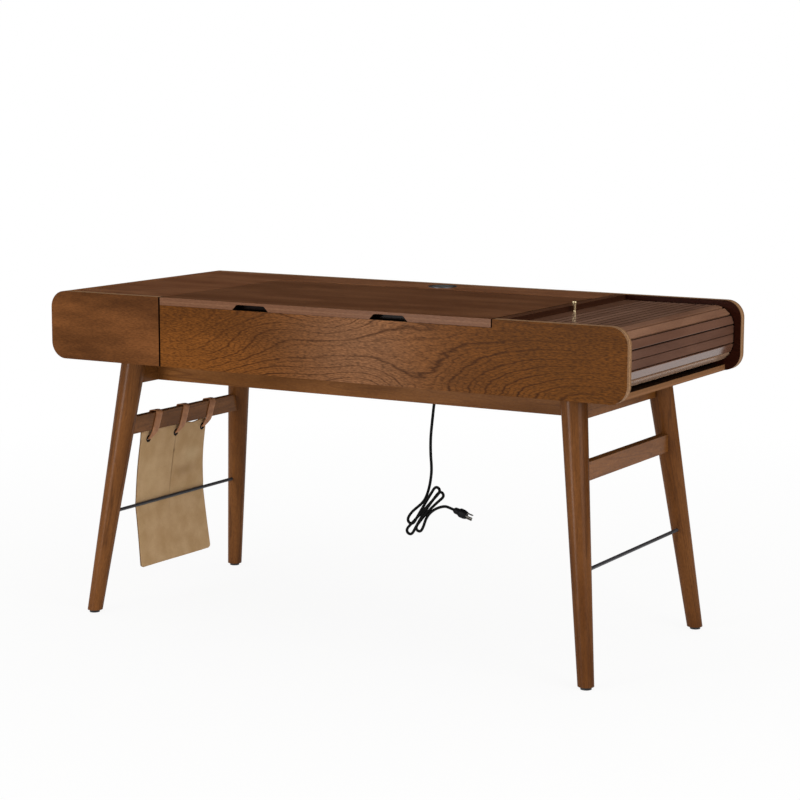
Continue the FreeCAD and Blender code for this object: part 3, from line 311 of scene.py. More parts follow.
def wood(
    name, fibre, ground, glow, line, figure=(600, 75), rings=7.0, first=0.0, waver=0.28, slope=(0, 0, 0),
    hills=(), lines=0.6, quiet=(), sheen_and_tone=(), flecks=0.3, lacquer=(0.04, 0.3), edge=None, hidden=None,
    inner=None, ends=None, splay=None, by_piece=0.0,
):
    """Lacquered wood: ring lines and short flecks over a cloudy stain from ground to glow.
    Figure is the rings' size along and across the fibre in millimetres, lacquer its weight and haze."""
    weight, haze = lacquer
    made, tree, shader = new_finish(name, {
        "Specular IOR Level": 0.02, "Roughness": 0.5, "Coat Weight": weight, "Coat Roughness": haze,
        "Coat IOR": 1.5,
    })
    source = add_node(tree, "ShaderNodeTexCoord")
    place = source.outputs["Object"]
    split = add_node(tree, "ShaderNodeSeparateXYZ", {"Vector": place})
    facing = add_node(tree, "ShaderNodeSeparateXYZ", {"Vector": source.outputs["Normal"]})
    if splay:
        place = upright_place(tree, split, splay)
    if by_piece:
        piece = add_node(tree, "ShaderNodeObjectInfo").outputs["Random"]
        apart = add_node(tree, "ShaderNodeVectorMath", {0: piece, 1: PIECE_SHIFT}, operation="MULTIPLY")
        place = add_node(tree, "ShaderNodeVectorMath", {0: place, 1: apart}, operation="ADD").outputs[0]
    field = wood_fields(tree, place, fibre, figure)
    ring_line = ring_lines(tree, place, field, rings, first, waver, slope, hills, lines, quiet)
    stops = ((0.36, tint(ground)), (0.64, tint(glow)))
    stain = add_node(tree, "ShaderNodeValToRGB", {0: field["stain"]}, stops=stops)
    # Each of these mixes in a colour: on the front, a painted sheen and a darker tone towards the right end
    for middle, sizes, pale, most in sheen_and_tone:
        share = bell(tree, place, middle, sizes)
        share = add_node(tree, "ShaderNodeMath", {0: share, 1: most}, operation="MULTIPLY")
        stain = add_node(tree, "ShaderNodeMixRGB", {"Fac": share, "Color1": stain, "Color2": tint(pale)})
    colour = add_node(tree, "ShaderNodeMixRGB", {"Fac": ring_line, "Color1": stain, "Color2": tint(line)})
    # Faces turned to the front, such as the back panel's inner side, take the colour inner as painted shade
    if inner:
        lean = facing.outputs["Y"]
        turned = add_node(tree, "ShaderNodeMath", {0: lean, 1: INNER_LEAN}, operation="LESS_THAN")
        colour = add_node(tree, "ShaderNodeMixRGB", {"Fac": turned, "Color1": colour, "Color2": tint(inner)})
    if edge:
        along_edge, plies = bare_edge(tree, split, facing, edge, hidden)
        colour = add_node(tree, "ShaderNodeMixRGB", {"Fac": along_edge, "Color1": colour, "Color2": plies})
        coat = add_node(tree, "ShaderNodeMapRange", {0: along_edge, 3: weight, 4: min(weight, EDGE_LACQUER)})
        tree.links.new(coat.outputs[0], shader.inputs["Coat Weight"])
    # Past the limit, the ends take painted shade, as where the slats run into their grooves
    if ends:
        axis, limit = ends
        size = add_node(tree, "ShaderNodeMath", {0: split.outputs[axis]}, operation="ABSOLUTE")
        shaded_end = add_node(tree, "ShaderNodeMath", {0: size, 1: limit}, operation="GREATER_THAN")
        shades = {"Fac": shaded_end, "Color1": colour, "Color2": tint(PAINTED_SHADE_COLOUR)}
        colour = add_node(tree, "ShaderNodeMixRGB", shades)
    most, least = 1 + flecks, 1 - flecks
    tone = add_node(tree, "ShaderNodeMapRange", {0: field["fleck"], 1: 0.3, 2: 0.7, 3: most, 4: least})
    if by_piece:
        own = add_node(tree, "ShaderNodeMapRange", {0: piece, 3: 1 - by_piece, 4: 1 + by_piece})
        tone = add_node(tree, "ShaderNodeMath", {0: tone, 1: own}, operation="MULTIPLY")
    colour = add_node(tree, "ShaderNodeVectorMath", {0: colour, "Scale": tone}, operation="SCALE")
    tree.links.new(colour.outputs[0], shader.inputs["Base Color"])
    pores = {"Strength": 0.12, "Distance": 0.0003, "Height": field["fleck"]}
    relief = add_node(tree, "ShaderNodeBump", pores)
    tree.links.new(relief.outputs[0], shader.inputs["Normal"])
    return made


def dress(material, *names):
    """Gives CAD nodes their finish."""
    for name in names:
        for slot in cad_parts[name].material_slots:
            slot.material = material


# Crown-cut walnut veneer, stained golden brown: thin dark ring lines that close into arches on the right.
# The edges that meet at the seam and under the lid carry painted shade, near black; the others show the bare
# plies.
PLY_EDGE = ("Y", "#997655", "#7e5e42")
# Between these places along the desk the front's and the drawer's edges carry painted shade
FRONT_HIDDEN = ("X", -0.4264, 0.43)
# The figure's hills and dips: place along and up the panel, reach along and up (mm), and number of rings
FRONT_HILLS = (
    (-250, 705, 380, 55, -9), (-80, 415, 200, 175, -17.5), (690, 580, 370, 125, -14.5),
    (20, 855, 105, 100, 12.5), (-380, 715, 415, 75, 16.5), (120, 565, 100, 75, -5.5),
)
# Places where the lines fade: their middle, and their size along each axis
FRONT_QUIET = (
    ((-0.40, 0, 0), (0.15, 0, 0)), ((0.36, 0, 0.76), (0.16, 0, 0.03)), ((0.72, 0, 0.70), (0.17, 0, 0.12)),
)
# A painted sheen in the panel's middle, and the panel darker towards its right end: their middle, their size
# along each axis, their colour and how strong it is
FRONT_SHEEN_AND_TONE = (
    ((0.11, 0, 0), (0.17, 0, 0), "#8d6549", 0.45), ((0.62, 0, 0), (0.24, 0, 0), "#502d07", 0.6),
)
front_veneer = wood(
    "crown_cut_walnut_front", "X", "#56300d", "#6d3f15", "#2a1000", figure=(380, 60), rings=0.9, first=0.05,
    waver=0.5, slope=(5.5, 0, -20.0), lines=0.95, quiet=FRONT_QUIET, sheen_and_tone=FRONT_SHEEN_AND_TONE, flecks=0.46,
    edge=PLY_EDGE, hidden=FRONT_HIDDEN,
    hills=[
        ((along * MM, 0, up * MM), (length * MM, 0, height * MM), count)
        for along, up, length, height, count in FRONT_HILLS
    ],
)
dress(front_veneer, "front_panel")
# The same veneer without a crown, redder and with straighter rings; its inner face is painted near black as
# shade
back_veneer = wood(
    "walnut_veneer_back", "X", "#643817", "#774621", "#351a08", edge=PLY_EDGE, inner="#2a0f07",
)
dress(back_veneer, "back_panel")
# Bent over the left end, with its fibre along the bend's axis and softer lines
end_veneer = wood("walnut_veneer_end", "Y", "#693f20", "#7f502c", "#391d0b", lines=0.4)
dress(end_veneer, "left_end_shell")
# The same veneer lies flat on the top under a fuller, smoother coat that mirrors what stands on it
TOP_LACQUER = (0.4, 0.16)
top_veneer = wood(
    "walnut_veneer_top", "X", "#6e4329", "#85583a", "#462513", figure=(700, 90), rings=6.0, lines=0.45,
    flecks=0.14, lacquer=TOP_LACQUER,
)
dress(top_veneer, "top_left", "top_rear")
# Darker boards between the wells; their upright faces, such as the step down to the tambour, carry painted
# shade
divider_veneer = wood(
    "walnut_veneer_divider", "Y", "#4c2e1c", "#583724", "#30190c", lines=0.4, flecks=0.14,
    lacquer=TOP_LACQUER, edge=("Z", "#3a2013", "#341b10"),
)
dress(divider_veneer, "divider_left", "divider_right")
# Painted nearly black as the shade inside the wells, and so underneath too, with a pale edge where the plies
# were sanded bare
bottom_veneer = wood(
    "walnut_veneer_bottom", "X", "#22150d", "#2b1b12", "#150c07", lines=0.3, flecks=0.14,
    edge=("Z", "#80593c", "#745033"),
)
dress(bottom_veneer, "bottom_board")
# Birch plywood under clear lacquer: pale yellow, with quiet rings
birch_ply = wood("birch_plywood", "X", "#b48f63", "#c4a277", "#8c6a42", lines=0.35, flecks=0.12)
dress(birch_ply, "rear_partition")
# Thin plywood, painted near black as the shade in the well behind the tambour, so that it looks deep
liner_ply = wood("shade_dark_liner_plywood", "Y", "#150c08", "#1c110b", "#0e0704", lines=0.35, flecks=0.15)
dress(liner_ply, "tambour_liner")

# Lid: one veneered board with two finger notches cut into its front edge, which is lipped with a strip of
# the same wood that took less stain. It turns on two steel pins in brass bushes pressed into the case.
# The lid's edges behind its front face, in the finger notches, at its ends and at its back, carry painted
# shade
LID_HIDDEN = ("Y", -0.3146, 1.0)
lid_veneer = wood(
    "walnut_veneer_lid", "X", "#5f3a22", "#744b30", "#391e0c", figure=(700, 90), rings=6.0, lines=0.45,
    flecks=0.16, lacquer=TOP_LACQUER, edge=("Z", "#73503a", "#6a4834"), hidden=LID_HIDDEN,
)
dress(lid_veneer, "lid")


def metal(name, colours, roughness, grit, bump):
    """A metal with fine tool marks; grit is their size in millimetres, drawn coarse enough to show."""
    made, tree, shader = new_finish(name, {"Metallic": 1.0})
    source = add_node(tree, "ShaderNodeTexCoord")
    scale = [1 / (size * MM) for size in grit]
    drawn = add_node(tree, "ShaderNodeMapping", {"Vector": source.outputs["Object"], "Scale": scale})
    marks = add_node(tree, "ShaderNodeTexNoise", {"Vector": drawn, "Scale": 1.0, "Detail": 3.0})
    stops = ((0.3, tint(colours[0])), (0.7, tint(colours[1])))
    shade = add_node(tree, "ShaderNodeValToRGB", {0: marks}, stops=stops)
    dull = add_node(tree, "ShaderNodeMapRange", {0: marks, 3: roughness[0], 4: roughness[1]})
    relief = add_node(tree, "ShaderNodeBump", {"Strength": bump, "Distance": 0.0002, "Height": marks})
    for socket, node in (("Base Color", shade), ("Roughness", dull), ("Normal", relief)):
        tree.links.new(node.outputs[0], shader.inputs[socket])
    return made


# Turned brass: pale yellow and nearly a mirror, with faint rings from the lathe
turned_brass = metal("turned_brass", ("#cdb88f", "#e4d3ac"), (0.14, 0.24), (8, 8, 0.5), 0.08)
dress(turned_brass, "lid_bushes")
# Zinc-plated steel: bluish grey with a soft gloss, and fine marks along the pins and across the slides
zinc_steel = metal("zinc_plated_steel", ("#9a9ea3", "#b4b8bb"), (0.25, 0.4), (6, 1, 6), 0.05)
dress(zinc_steel, "lid_pins")

# Drawer: a veneered front on a box of birch plywood, which runs on side-mounted steel slides.
# The front's veneer is plainer, with clouds of stain and hardly a line.
# Its edge at the seam carries the same painted shade as the front's
drawer_veneer = wood(
    "plain_walnut_veneer", "X", "#492910", "#704422", "#2e1505", figure=(500, 120), rings=3.0, lines=0.2,
    flecks=0.24, edge=PLY_EDGE, hidden=FRONT_HIDDEN,
)
dress(drawer_veneer, "drawer_front")
dress(birch_ply, "drawer_back", "drawer_bottom", "drawer_box_front", "drawer_side_left", "drawer_side_right")
dress(zinc_steel, "slide_inner_rails", "slide_outer_rails")

# Tambour: slats of walnut glued edge to edge on canvas, which slide in grooves of the front and back panels
# behind a lead rail with a brass knob. Each slat was cut from another place in the board, so each has its
# own tone; their ends carry painted shade where they run into the grooves.
SLAT_LACQUER = (1.0, 0.16)
THIN_SLAT_LACQUER = (0.25, 0.3)
# Painted shade on the edges of the flat slats and of the lead rail, for the dark gaps between them
SLAT_GAP_SHADE = ("Z", "#180e09", "#180e09")
# Past this distance from the middle the slats' ends carry painted shade, where they run into the grooves
SLAT_ENDS = ("Y", 0.2905)
# Close-grained solid walnut, a little darker than the slats, with painted shade on its edges as in the slats'
# gaps
lead_walnut = wood(
    "walnut_lead_rail", "Y", "#553929", "#634433", "#3a1f13", lines=0.15, flecks=0.1, lacquer=TOP_LACQUER,
    edge=SLAT_GAP_SHADE,
)
dress(lead_walnut, "lead_rail")
dress(turned_brass, "tambour_knob")
slats = sorted(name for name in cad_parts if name.startswith("tambour_slat"))
# Walnut slats in five lots, first to last: the flat ones with painted shade on their edges, two at the bend
# painted paler as a painted highlight, three on the upright end painted darker as shade under a thinner coat,
# and the low ones, painted darker as shade too, whose full lacquer catches the light off the floor; the last
# two of these are painted paler as well, a painted sheen
for name, tones, first, last, lacquer, edge in (
    ("walnut_slats_flat", ("#664838", "#7a5a48", "#42281b"), 1, 9, TOP_LACQUER, SLAT_GAP_SHADE),
    ("walnut_slats_bend", ("#6e4d3b", "#85614b", "#462a1c"), 10, 11, TOP_LACQUER, None),
    ("walnut_slats_dark", ("#55392c", "#664738", "#392217"), 12, 14, THIN_SLAT_LACQUER, None),
    ("walnut_slats_low", ("#5a3c2d", "#6d4a39", "#3c2317"), 15, 15, SLAT_LACQUER, None),
    ("walnut_slats_last", ("#7c5f4c", "#90725c", "#4a2f22"), 16, 17, SLAT_LACQUER, None),
):
    slat_walnut = wood(
        name, "Y", *tones, figure=(500, 30), rings=4.0, lines=0.15, flecks=0.1, lacquer=lacquer, edge=edge,
        ends=SLAT_ENDS, by_piece=0.08,
    )
    dress(slat_walnut, *(slat for slat in slats if first <= int(slat.split("_")[2]) <= last))

# Canvas: a brown cotton backing that joins the slats, glued to their inner faces and showing in the gaps,
# painted near black there as shade.
# Each slat carries its own width of it, which stands a little past its sides.
CANVAS_OFF = 0.0003
CANVAS_PAST = 0.0007
CANVAS_THREAD = 1.5
# Plain-woven cotton, painted near black as the shade in the gaps: no gloss at all; the threads are drawn
# coarser than they are, to show
canvas, tree, shader = new_finish("brown_cotton_canvas", {"Roughness": 0.95, "Specular IOR Level": 0.1})
spot = add_node(tree, "ShaderNodeTexCoord").outputs["Object"]
weave = add_node(
    tree, "ShaderNodeTexNoise", {"Vector": spot, "Scale": 1 / (CANVAS_THREAD * MM), "Detail": 2.0}
)
stops = ((0.35, tint("#120b08")), (0.65, tint("#1f1510")))
yarn = add_node(tree, "ShaderNodeValToRGB", {0: weave}, stops=stops)
tree.links.new(yarn.outputs[0], shader.inputs["Base Color"])
for name in slats:
    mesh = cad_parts[name].data
    areas = {}
    for face in mesh.polygons:
        key = tuple(round(part, 2) for part in face.normal)
        areas[key] = areas.get(key, 0.0) + face.area
    inward = Vector(max(areas, key=areas.get)).normalized()
    sideways = inward.cross(Vector((0, 1, 0))).normalized()
    depth = max(corner.co.dot(inward) for corner in mesh.vertices)
    back = [corner.co for corner in mesh.vertices if depth - corner.co.dot(inward) < CANVAS_OFF]
    ends = [pick(corner.y for corner in back) for pick in (min, max)]
    sides = [min(corner.dot(sideways) for corner in back) - CANVAS_PAST]
    sides.append(max(corner.dot(sideways) for corner in back) + CANVAS_PAST)
    quad = [
        inward * (depth + CANVAS_OFF) + sideways * sides[across] + Vector((0, ends[along], 0))
        for across, along in ((0, 0), (1, 0), (1, 1), (0, 1))
    ]
    strip = add_mesh(f"canvas_{name.removeprefix('tambour_')}", quad, [[0, 1, 2, 3]], canvas)
    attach(strip, name)

# Leg frame: turned legs tenoned into rails under the case, with a stretcher at each end.
# Solid walnut stained to match the veneer; the legs took the stain a little darker than the rails.
LEG_COLOURS = ("#532e0f", "#6e4421", "#2d1609")
RAIL_COLOURS = ("#623a16", "#82532b", "#361a0b")
# How far a leg leans outwards for each metre down, along and across the desk
LEG_SPLAY = 0.1215
LEG_LACQUER = (0.14, 0.22)
RAIL_LACQUER = (0.08, 0.2)
STRETCHER_LACQUER = (0.3, 0.22)
# Turned walnut: fine lines along the leg and a satin gloss
leg_wood = wood(
    "turned_solid_walnut", "Z", *LEG_COLOURS, figure=(500, 26), rings=4.0, lines=0.5, flecks=0.16,
    lacquer=LEG_LACQUER, splay=LEG_SPLAY, by_piece=0.03,
)
dress(leg_wood, *(f"leg_{end}_{side}" for end in ("front", "back") for side in ("left", "right")))
# Planed walnut: a little paler, with its lines along each rail; the end rails and stretchers shine more
for fibre, lacquer, names in (
    ("X", RAIL_LACQUER, ("front_rail", "back_rail")),
    ("Y", STRETCHER_LACQUER, ("side_rail_left", "side_rail_right", "stretcher_left", "stretcher_right")),
):
    rail_wood = wood(
        f"solid_walnut_{fibre.lower()}", fibre, *RAIL_COLOURS, figure=(500, 40), rings=4.0, lines=0.4,
        flecks=0.16, lacquer=lacquer,
    )
    dress(rail_wood, *names)

# Foot rods and glides: steel rods with black powder coat pushed into the legs, and moulded black glides
# fixed under the feet.
def pebbled(name, colours, roughness, grain, bump, shine=0.25):
    """A coat, moulding or cut edge with a fine pebble; grain is its size in millimetres."""
    made, tree, shader = new_finish(name, {"Roughness": roughness, "Specular IOR Level": shine})
    source = add_node(tree, "ShaderNodeTexCoord").outputs["Object"]
    pebble = add_node(
        tree, "ShaderNodeTexNoise", {"Vector": source, "Scale": 1 / (grain * MM), "Detail": 2.0}
    )
    stops = ((0.35, tint(colours[0])), (0.65, tint(colours[1])))
    shade = add_node(tree, "ShaderNodeValToRGB", {0: pebble}, stops=stops)
    relief = add_node(tree, "ShaderNodeBump", {"Strength": bump, "Distance": 0.0003, "Height": pebble})
    tree.links.new(shade.outputs[0], shader.inputs["Base Color"])
    tree.links.new(relief.outputs[0], shader.inputs["Normal"])
    return made, tree, shader


# Powder coat: charcoal with a soft gloss, and a pebble drawn a few times its size so that it shows
powder_coat = pebbled("black_powder_coat", ("#2f2e31", "#3b3a3d"), 0.42, 1.2, 0.25)[0]
dress(powder_coat, "foot_rods")
# Moulded ABS: an even black with a spark-eroded grain, drawn coarser than it is
black_abs = pebbled("moulded_black_abs", ("#1b1b1c", "#232324"), 0.45, 0.8, 0.15)[0]
dress(black_abs, "leg_glides", "cord_bush", "cord_relief", "power_housing")

# Sling: one piece of tan suede that hangs from three straps and bends over the left foot rod.
# It is cut with rounded lower corners, has three punched eyelets, and keeps the crease it was folded on.
ROD = Vector((-0.6143, 0.2374))
ROD_RADIUS = 0.004
ROD_GAP = 0.0005
SHEET_THICKNESS = 0.0024
REACH = ROD_RADIUS + ROD_GAP + SHEET_THICKNESS / 2
UPPER_LEAN = math.radians(8.98)
LOWER_LEAN = math.radians(4.2)
UPPER_LENGTH = 0.1821
LOWER_LENGTH = 0.156
# The cut's left and right edges at the top, at the rod and at the bottom, its greatest and its mean width
LEFT_EDGE = (-0.168, -0.157, -0.150)
RIGHT_EDGE = (0.095, 0.120, 0.129)
CORNER = 0.009
EYELETS = (-0.136, -0.026, 0.084)
EYELET_DOWN = 0.0208
EYELET_RADIUS = 0.0075
# The sheet's loose corners within this many radii of an eyelet's middle are drawn onto the punched hole
EYELET_CATCH = 1.35
CELL = 0.0035
# The sheet hangs free from a little above the rod to a little below the eyelets, and there it swells,
# keeps its crease and curls out beside the last eyelet
FREE_FROM = 0.012
FREE_BELOW_TOP = 0.024
FREE_SPAN = UPPER_LENGTH - FREE_FROM - FREE_BELOW_TOP
SWELL = 0.0010
CREASE_AT = -0.024
CREASE_SPREAD = 0.006
CREASE_LIFT = 0.0016
CURL_LIFT = 0.0015
CURL_FROM = 0.36
CURL_SPAN = 0.14
# Below the rod the hem curls, out at one side and in at the other
HEM_CURL = 0.0035
HEM_PHASE = 0.9
# The top edge sags between the last two eyelets
SAG_DEPTH = 0.004
SAG_DOWN = 0.03
SAG_AT = 0.045
SAG_SPREAD = 0.022


def clamp(value):
    """A value kept between 0 and 1."""
    return min(max(value, 0), 1)


def sling_point(across, down):
    """A point of the sheet, from its place across the flat cut and down from the top edge."""
    start = ROD + Vector((-math.cos(UPPER_LEAN), math.sin(UPPER_LEAN))) * REACH
    end = ROD + Vector((-math.cos(LOWER_LEAN), -math.sin(LOWER_LEAN))) * REACH
    bend = REACH * (UPPER_LEAN + LOWER_LEAN)
    width = (across - (LEFT_EDGE[0] + RIGHT_EDGE[0]) / 2) / (RIGHT_EDGE[0] - LEFT_EDGE[0])
    if down < UPPER_LENGTH:
        rise = UPPER_LENGTH - down
        spot = start + Vector((math.sin(UPPER_LEAN), math.cos(UPPER_LEAN))) * rise
        free = math.sin(math.pi * clamp((rise - FREE_FROM) / FREE_SPAN))
        crease = CREASE_LIFT * math.exp(-abs(across - CREASE_AT) / CREASE_SPREAD)
        curl = CURL_LIFT * max(0.0, width - CURL_FROM) / CURL_SPAN
        out = free * (crease + curl + SWELL * (1 - math.cos(2 * math.pi * width)))
        spot += Vector((-math.cos(UPPER_LEAN), math.sin(UPPER_LEAN))) * out
    elif down < UPPER_LENGTH + bend:
        turn = UPPER_LEAN - (down - UPPER_LENGTH) / REACH
        spot = ROD + Vector((-math.cos(turn), math.sin(turn))) * REACH
    else:
        drop = down - UPPER_LENGTH - bend
        spot = end + Vector((math.sin(LOWER_LEAN), -math.cos(LOWER_LEAN))) * drop
        spot.x -= HEM_CURL * (drop / LOWER_LENGTH) ** 2 * math.sin(math.pi * (width + HEM_PHASE))
    return Vector((spot.x, across, spot.y))


sling_length = UPPER_LENGTH + REACH * (UPPER_LEAN + LOWER_LEAN) + LOWER_LENGTH
rows = round(sling_length / CELL)
columns = round((RIGHT_EDGE[2] - LEFT_EDGE[2]) / CELL)
cut = []
for row in range(rows + 1):
    down = sling_length * row / rows
    if down < UPPER_LENGTH:
        step, share = 0, down / UPPER_LENGTH
    else:
        step, share = 1, (down - UPPER_LENGTH) / (sling_length - UPPER_LENGTH)
    left, far_side = (edge[step] + (edge[step + 1] - edge[step]) * share for edge in (LEFT_EDGE, RIGHT_EDGE))
    short = max(0.0, down - (sling_length - CORNER))
    inset = CORNER - math.sqrt(max(CORNER ** 2 - short ** 2, 0.0))
    sag = SAG_DEPTH * math.sin(math.pi * clamp(1 - down / SAG_DOWN) / 2)
    for column in range(columns + 1):
        across = left + inset + (far_side - left - 2 * inset) * column / columns
        dip = sag * math.exp(-((across - SAG_AT) / SAG_SPREAD) ** 2)
        cut.append((across, down + dip))
work = bmesh.new()
corners = [work.verts.new((across, down, 0)) for across, down in cut]
for row in range(rows):
    for column in range(columns):
        first = row * (columns + 1) + column
        work.faces.new([corners[first + step] for step in (0, 1, columns + 2, columns + 1)])
for middle in EYELETS:
    centre = Vector((middle, EYELET_DOWN, 0))
    inside = [face for face in work.faces if (face.calc_center_median() - centre).length < EYELET_RADIUS]
    bmesh.ops.delete(work, geom=inside, context="FACES")
    for corner in work.verts:
        off = corner.co - centre
        if off.length < EYELET_RADIUS * EYELET_CATCH and any(edge.is_boundary for edge in corner.link_edges):
            corner.co = centre + off.normalized() * EYELET_RADIUS
for corner in work.verts:
    corner.co = sling_point(corner.co.x, corner.co.y)
sheet_mesh = bpy.data.meshes.new("sling_sheet")
work.to_mesh(sheet_mesh)
work.free()
sling = bpy.data.objects.new("sling_sheet", sheet_mesh)
scene.collection.objects.link(sling)
for face in sheet_mesh.polygons:
    face.use_smooth = True
thick = sling.modifiers.new("thickness", "SOLIDIFY")
thick.thickness = SHEET_THICKNESS
thick.offset = 0

# Suede: split leather with the nap brushed up, so it has no gloss and a soft sheen; painted shade and a
# painted sheen are marked on it.
# The nap is under half a millimetre and is drawn coarser, so that it shows.
SUEDE_NAP = 1.1
SUEDE_CLOUD = 38
# Painted shade along the crease and in the dimple at its top, a painted sheen, painted shade under it, and a
# paler
# place towards the left edge: their middle, their size along each axis, their colour and how strong it is
SUEDE_SHADE_AND_SHEEN = (
    ((0, -0.024, 0.320), (0, 0.0018, 0.075), "#5d4226", 0.75),
    ((0, -0.024, 0.352), (0, 0.0035, 0.005), "#3a2a18", 0.8),
    ((0, 0.055, 0.330), (0, 0.035, 0.022), "#dcc19a", 0.5),
    ((0, 0.030, 0.295), (0, 0.045, 0.014), "#86653f", 0.55),
    ((0, -0.100, 0.300), (0, 0.050, 0.060), "#d8ba90", 0.35),
)
suede, tree, shader = new_finish("tan_suede", {
    "Roughness": 0.95, "Specular IOR Level": 0.1, "Sheen Weight": 0.25, "Sheen Roughness": 0.6,
    "Sheen Tint": tint("#d8bf9c"),
})
source = add_node(tree, "ShaderNodeTexCoord").outputs["Object"]
nap = add_node(
    tree, "ShaderNodeTexNoise", {"Vector": source, "Scale": 1 / (SUEDE_NAP * MM), "Detail": 3.0}
)
cloud = add_node(
    tree, "ShaderNodeTexNoise", {"Vector": source, "Scale": 1 / (SUEDE_CLOUD * MM), "Detail": 3.0}
)
stops = ((0.32, tint("#b8956a")), (0.68, tint("#cba981")))
suede_tone_and_shading = add_node(tree, "ShaderNodeValToRGB", {0: cloud}, stops=stops)
fibres = add_node(tree, "ShaderNodeValToRGB", {0: nap}, stops=((0.3, grey(0.0)), (0.75, grey(0.6))))
for middle, sizes, shade, most in SUEDE_SHADE_AND_SHEEN:
    share = bell(tree, source, middle, sizes)
    share = add_node(tree, "ShaderNodeMath", {0: share, 1: most}, operation="MULTIPLY")
    suede_tone_and_shading = add_node(tree, "ShaderNodeMixRGB", {"Fac": share, "Color1": suede_tone_and_shading, "Color2": tint(shade)})
colour = add_node(tree, "ShaderNodeMixRGB", {"Fac": fibres, "Color1": suede_tone_and_shading, "Color2": tint("#9a7a54")})
tree.links.new(colour.outputs[0], shader.inputs["Base Color"])
relief = add_node(tree, "ShaderNodeBump", {"Strength": 0.35, "Distance": 0.0004, "Height": nap})
tree.links.new(relief.outputs[0], shader.inputs["Normal"])
sheet_mesh.materials.append(suede)
# The knife's cut through the suede: the darker inside of the hide, matt and fibrous
cut_edge = pebbled("cut_suede_edge", ("#5f4328", "#755433"), 0.9, SUEDE_NAP, 0.3)[0]
sheet_mesh.materials.append(cut_edge)
thick.material_offset_rim = 1
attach(sling, "case")
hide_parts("sling")

# Eyelets: short tubes of brass clenched over both faces of the sheet, where the straps pass, painted near
# black as the shade in the punched holes.
# They are rolled out of thin metal, with a rounded lip.
# Round the tube's section: distance from the eyelet's axis, and place along it
EYELET_PROFILE = (
    (0.0050, -0.0022), (0.0050, 0.0022), (0.0068, 0.0028), (0.0088, 0.0018), (0.0088, -0.0018),
    (0.0068, -0.0028),
)
EYELET_SIDES = 24
# Brass painted nearly black and dull as the shade in the holes, with a trace of brown in patches
shade_black_brass = metal("shade_black_brass", ("#191512", "#231d19"), (0.5, 0.65), (3, 3, 3), 0.05)
axis = Vector((-math.cos(UPPER_LEAN), 0, math.sin(UPPER_LEAN)))
slant = Vector((math.sin(UPPER_LEAN), 0, math.cos(UPPER_LEAN)))
points = []
faces = []
ring_size = len(EYELET_PROFILE)
for middle in EYELETS:
    base = len(points)
    for side, (across, rise) in enumerate(round_points(1.0, EYELET_SIDES)):
        spoke = Vector((0, across, 0)) + slant * rise
        for radius, depth in EYELET_PROFILE:
            points.append(sling_point(middle, EYELET_DOWN) + spoke * radius + axis * depth)
        here = base + side * ring_size
        after = base + (side + 1) % EYELET_SIDES * ring_size
        for corner in range(ring_size):
            turned = (corner + 1) % ring_size
            faces.append([here + corner, after + corner, after + turned, here + turned])
eyelets = add_mesh("sling_eyelets", points, faces, shade_black_brass)
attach(eyelets, "case")

# Straps: three bands of vegetable-tanned leather, each looped over the stretcher and through an eyelet.
# They hang a little askew, with the loops pulled towards the back of the desk, and narrow towards the
# eyelets.
STRAP_PULL = 0.026
STRAP_LOW = 0.3975
STRAP_HIGH = 0.4616
# Round the loop: place along the desk and up (m), then half the width and half the thickness (mm)
STRAP_PATH = (
    (-0.5960, 0.3970, 4.2, 2.8), (-0.5925, 0.3974, 4.6, 2.4), (-0.5895, 0.3996, 6.4, 1.5),
    (-0.5855, 0.4055, 9.4, 1.1), (-0.5812, 0.4130, 11.2, 1.1), (-0.5788, 0.4200, 12.0, 1.1),
    (-0.5784, 0.4350, 12.0, 1.1), (-0.5784, 0.4530, 12.0, 1.1), (-0.5786, 0.4612, 12.0, 1.1),
    (-0.5812, 0.4640, 12.0, 1.1), (-0.5898, 0.4648, 12.0, 1.1), (-0.5984, 0.4640, 12.0, 1.1),
    (-0.6009, 0.4612, 12.0, 1.1), (-0.6012, 0.4530, 12.0, 1.1), (-0.6012, 0.4350, 12.0, 1.1),
    (-0.6012, 0.4180, 11.0, 1.1), (-0.6010, 0.4070, 8.6, 1.1), (-0.6000, 0.3995, 5.4, 2.0),
)
# The band's outline with its corners rounded, in shares of those halves
STRAP_SECTION = ((1, 0.6), (0.92, 1), (-0.92, 1), (-1, 0.6), (-1, -0.6), (-0.92, -1), (0.92, -1), (1, -0.6))
STRAP_GRAIN = 1.4
STRAP_CLOUD = 14
# Vegetable-tanned leather: warm brown, a low waxy gloss and a cell-like grain, drawn coarser than it is
leather, tree, shader = new_finish("tanned_strap_leather", {"Roughness": 0.5, "Specular IOR Level": 0.3})
source = add_node(tree, "ShaderNodeTexCoord").outputs["Object"]
grain = add_node(tree, "ShaderNodeTexVoronoi", {"Vector": source, "Scale": 1 / (STRAP_GRAIN * MM)})
tone = add_node(
    tree, "ShaderNodeTexNoise", {"Vector": source, "Scale": 1 / (STRAP_CLOUD * MM), "Detail": 2.0}
)
stops = ((0.35, tint("#9c6742")), (0.65, tint("#b57d54")))
shade = add_node(tree, "ShaderNodeValToRGB", {0: tone}, stops=stops)
tree.links.new(shade.outputs[0], shader.inputs["Base Color"])
relief = add_node(tree, "ShaderNodeBump", {"Strength": 0.3, "Distance": 0.0003, "Height": grain})
tree.links.new(relief.outputs[0], shader.inputs["Normal"])
points = []
faces = []
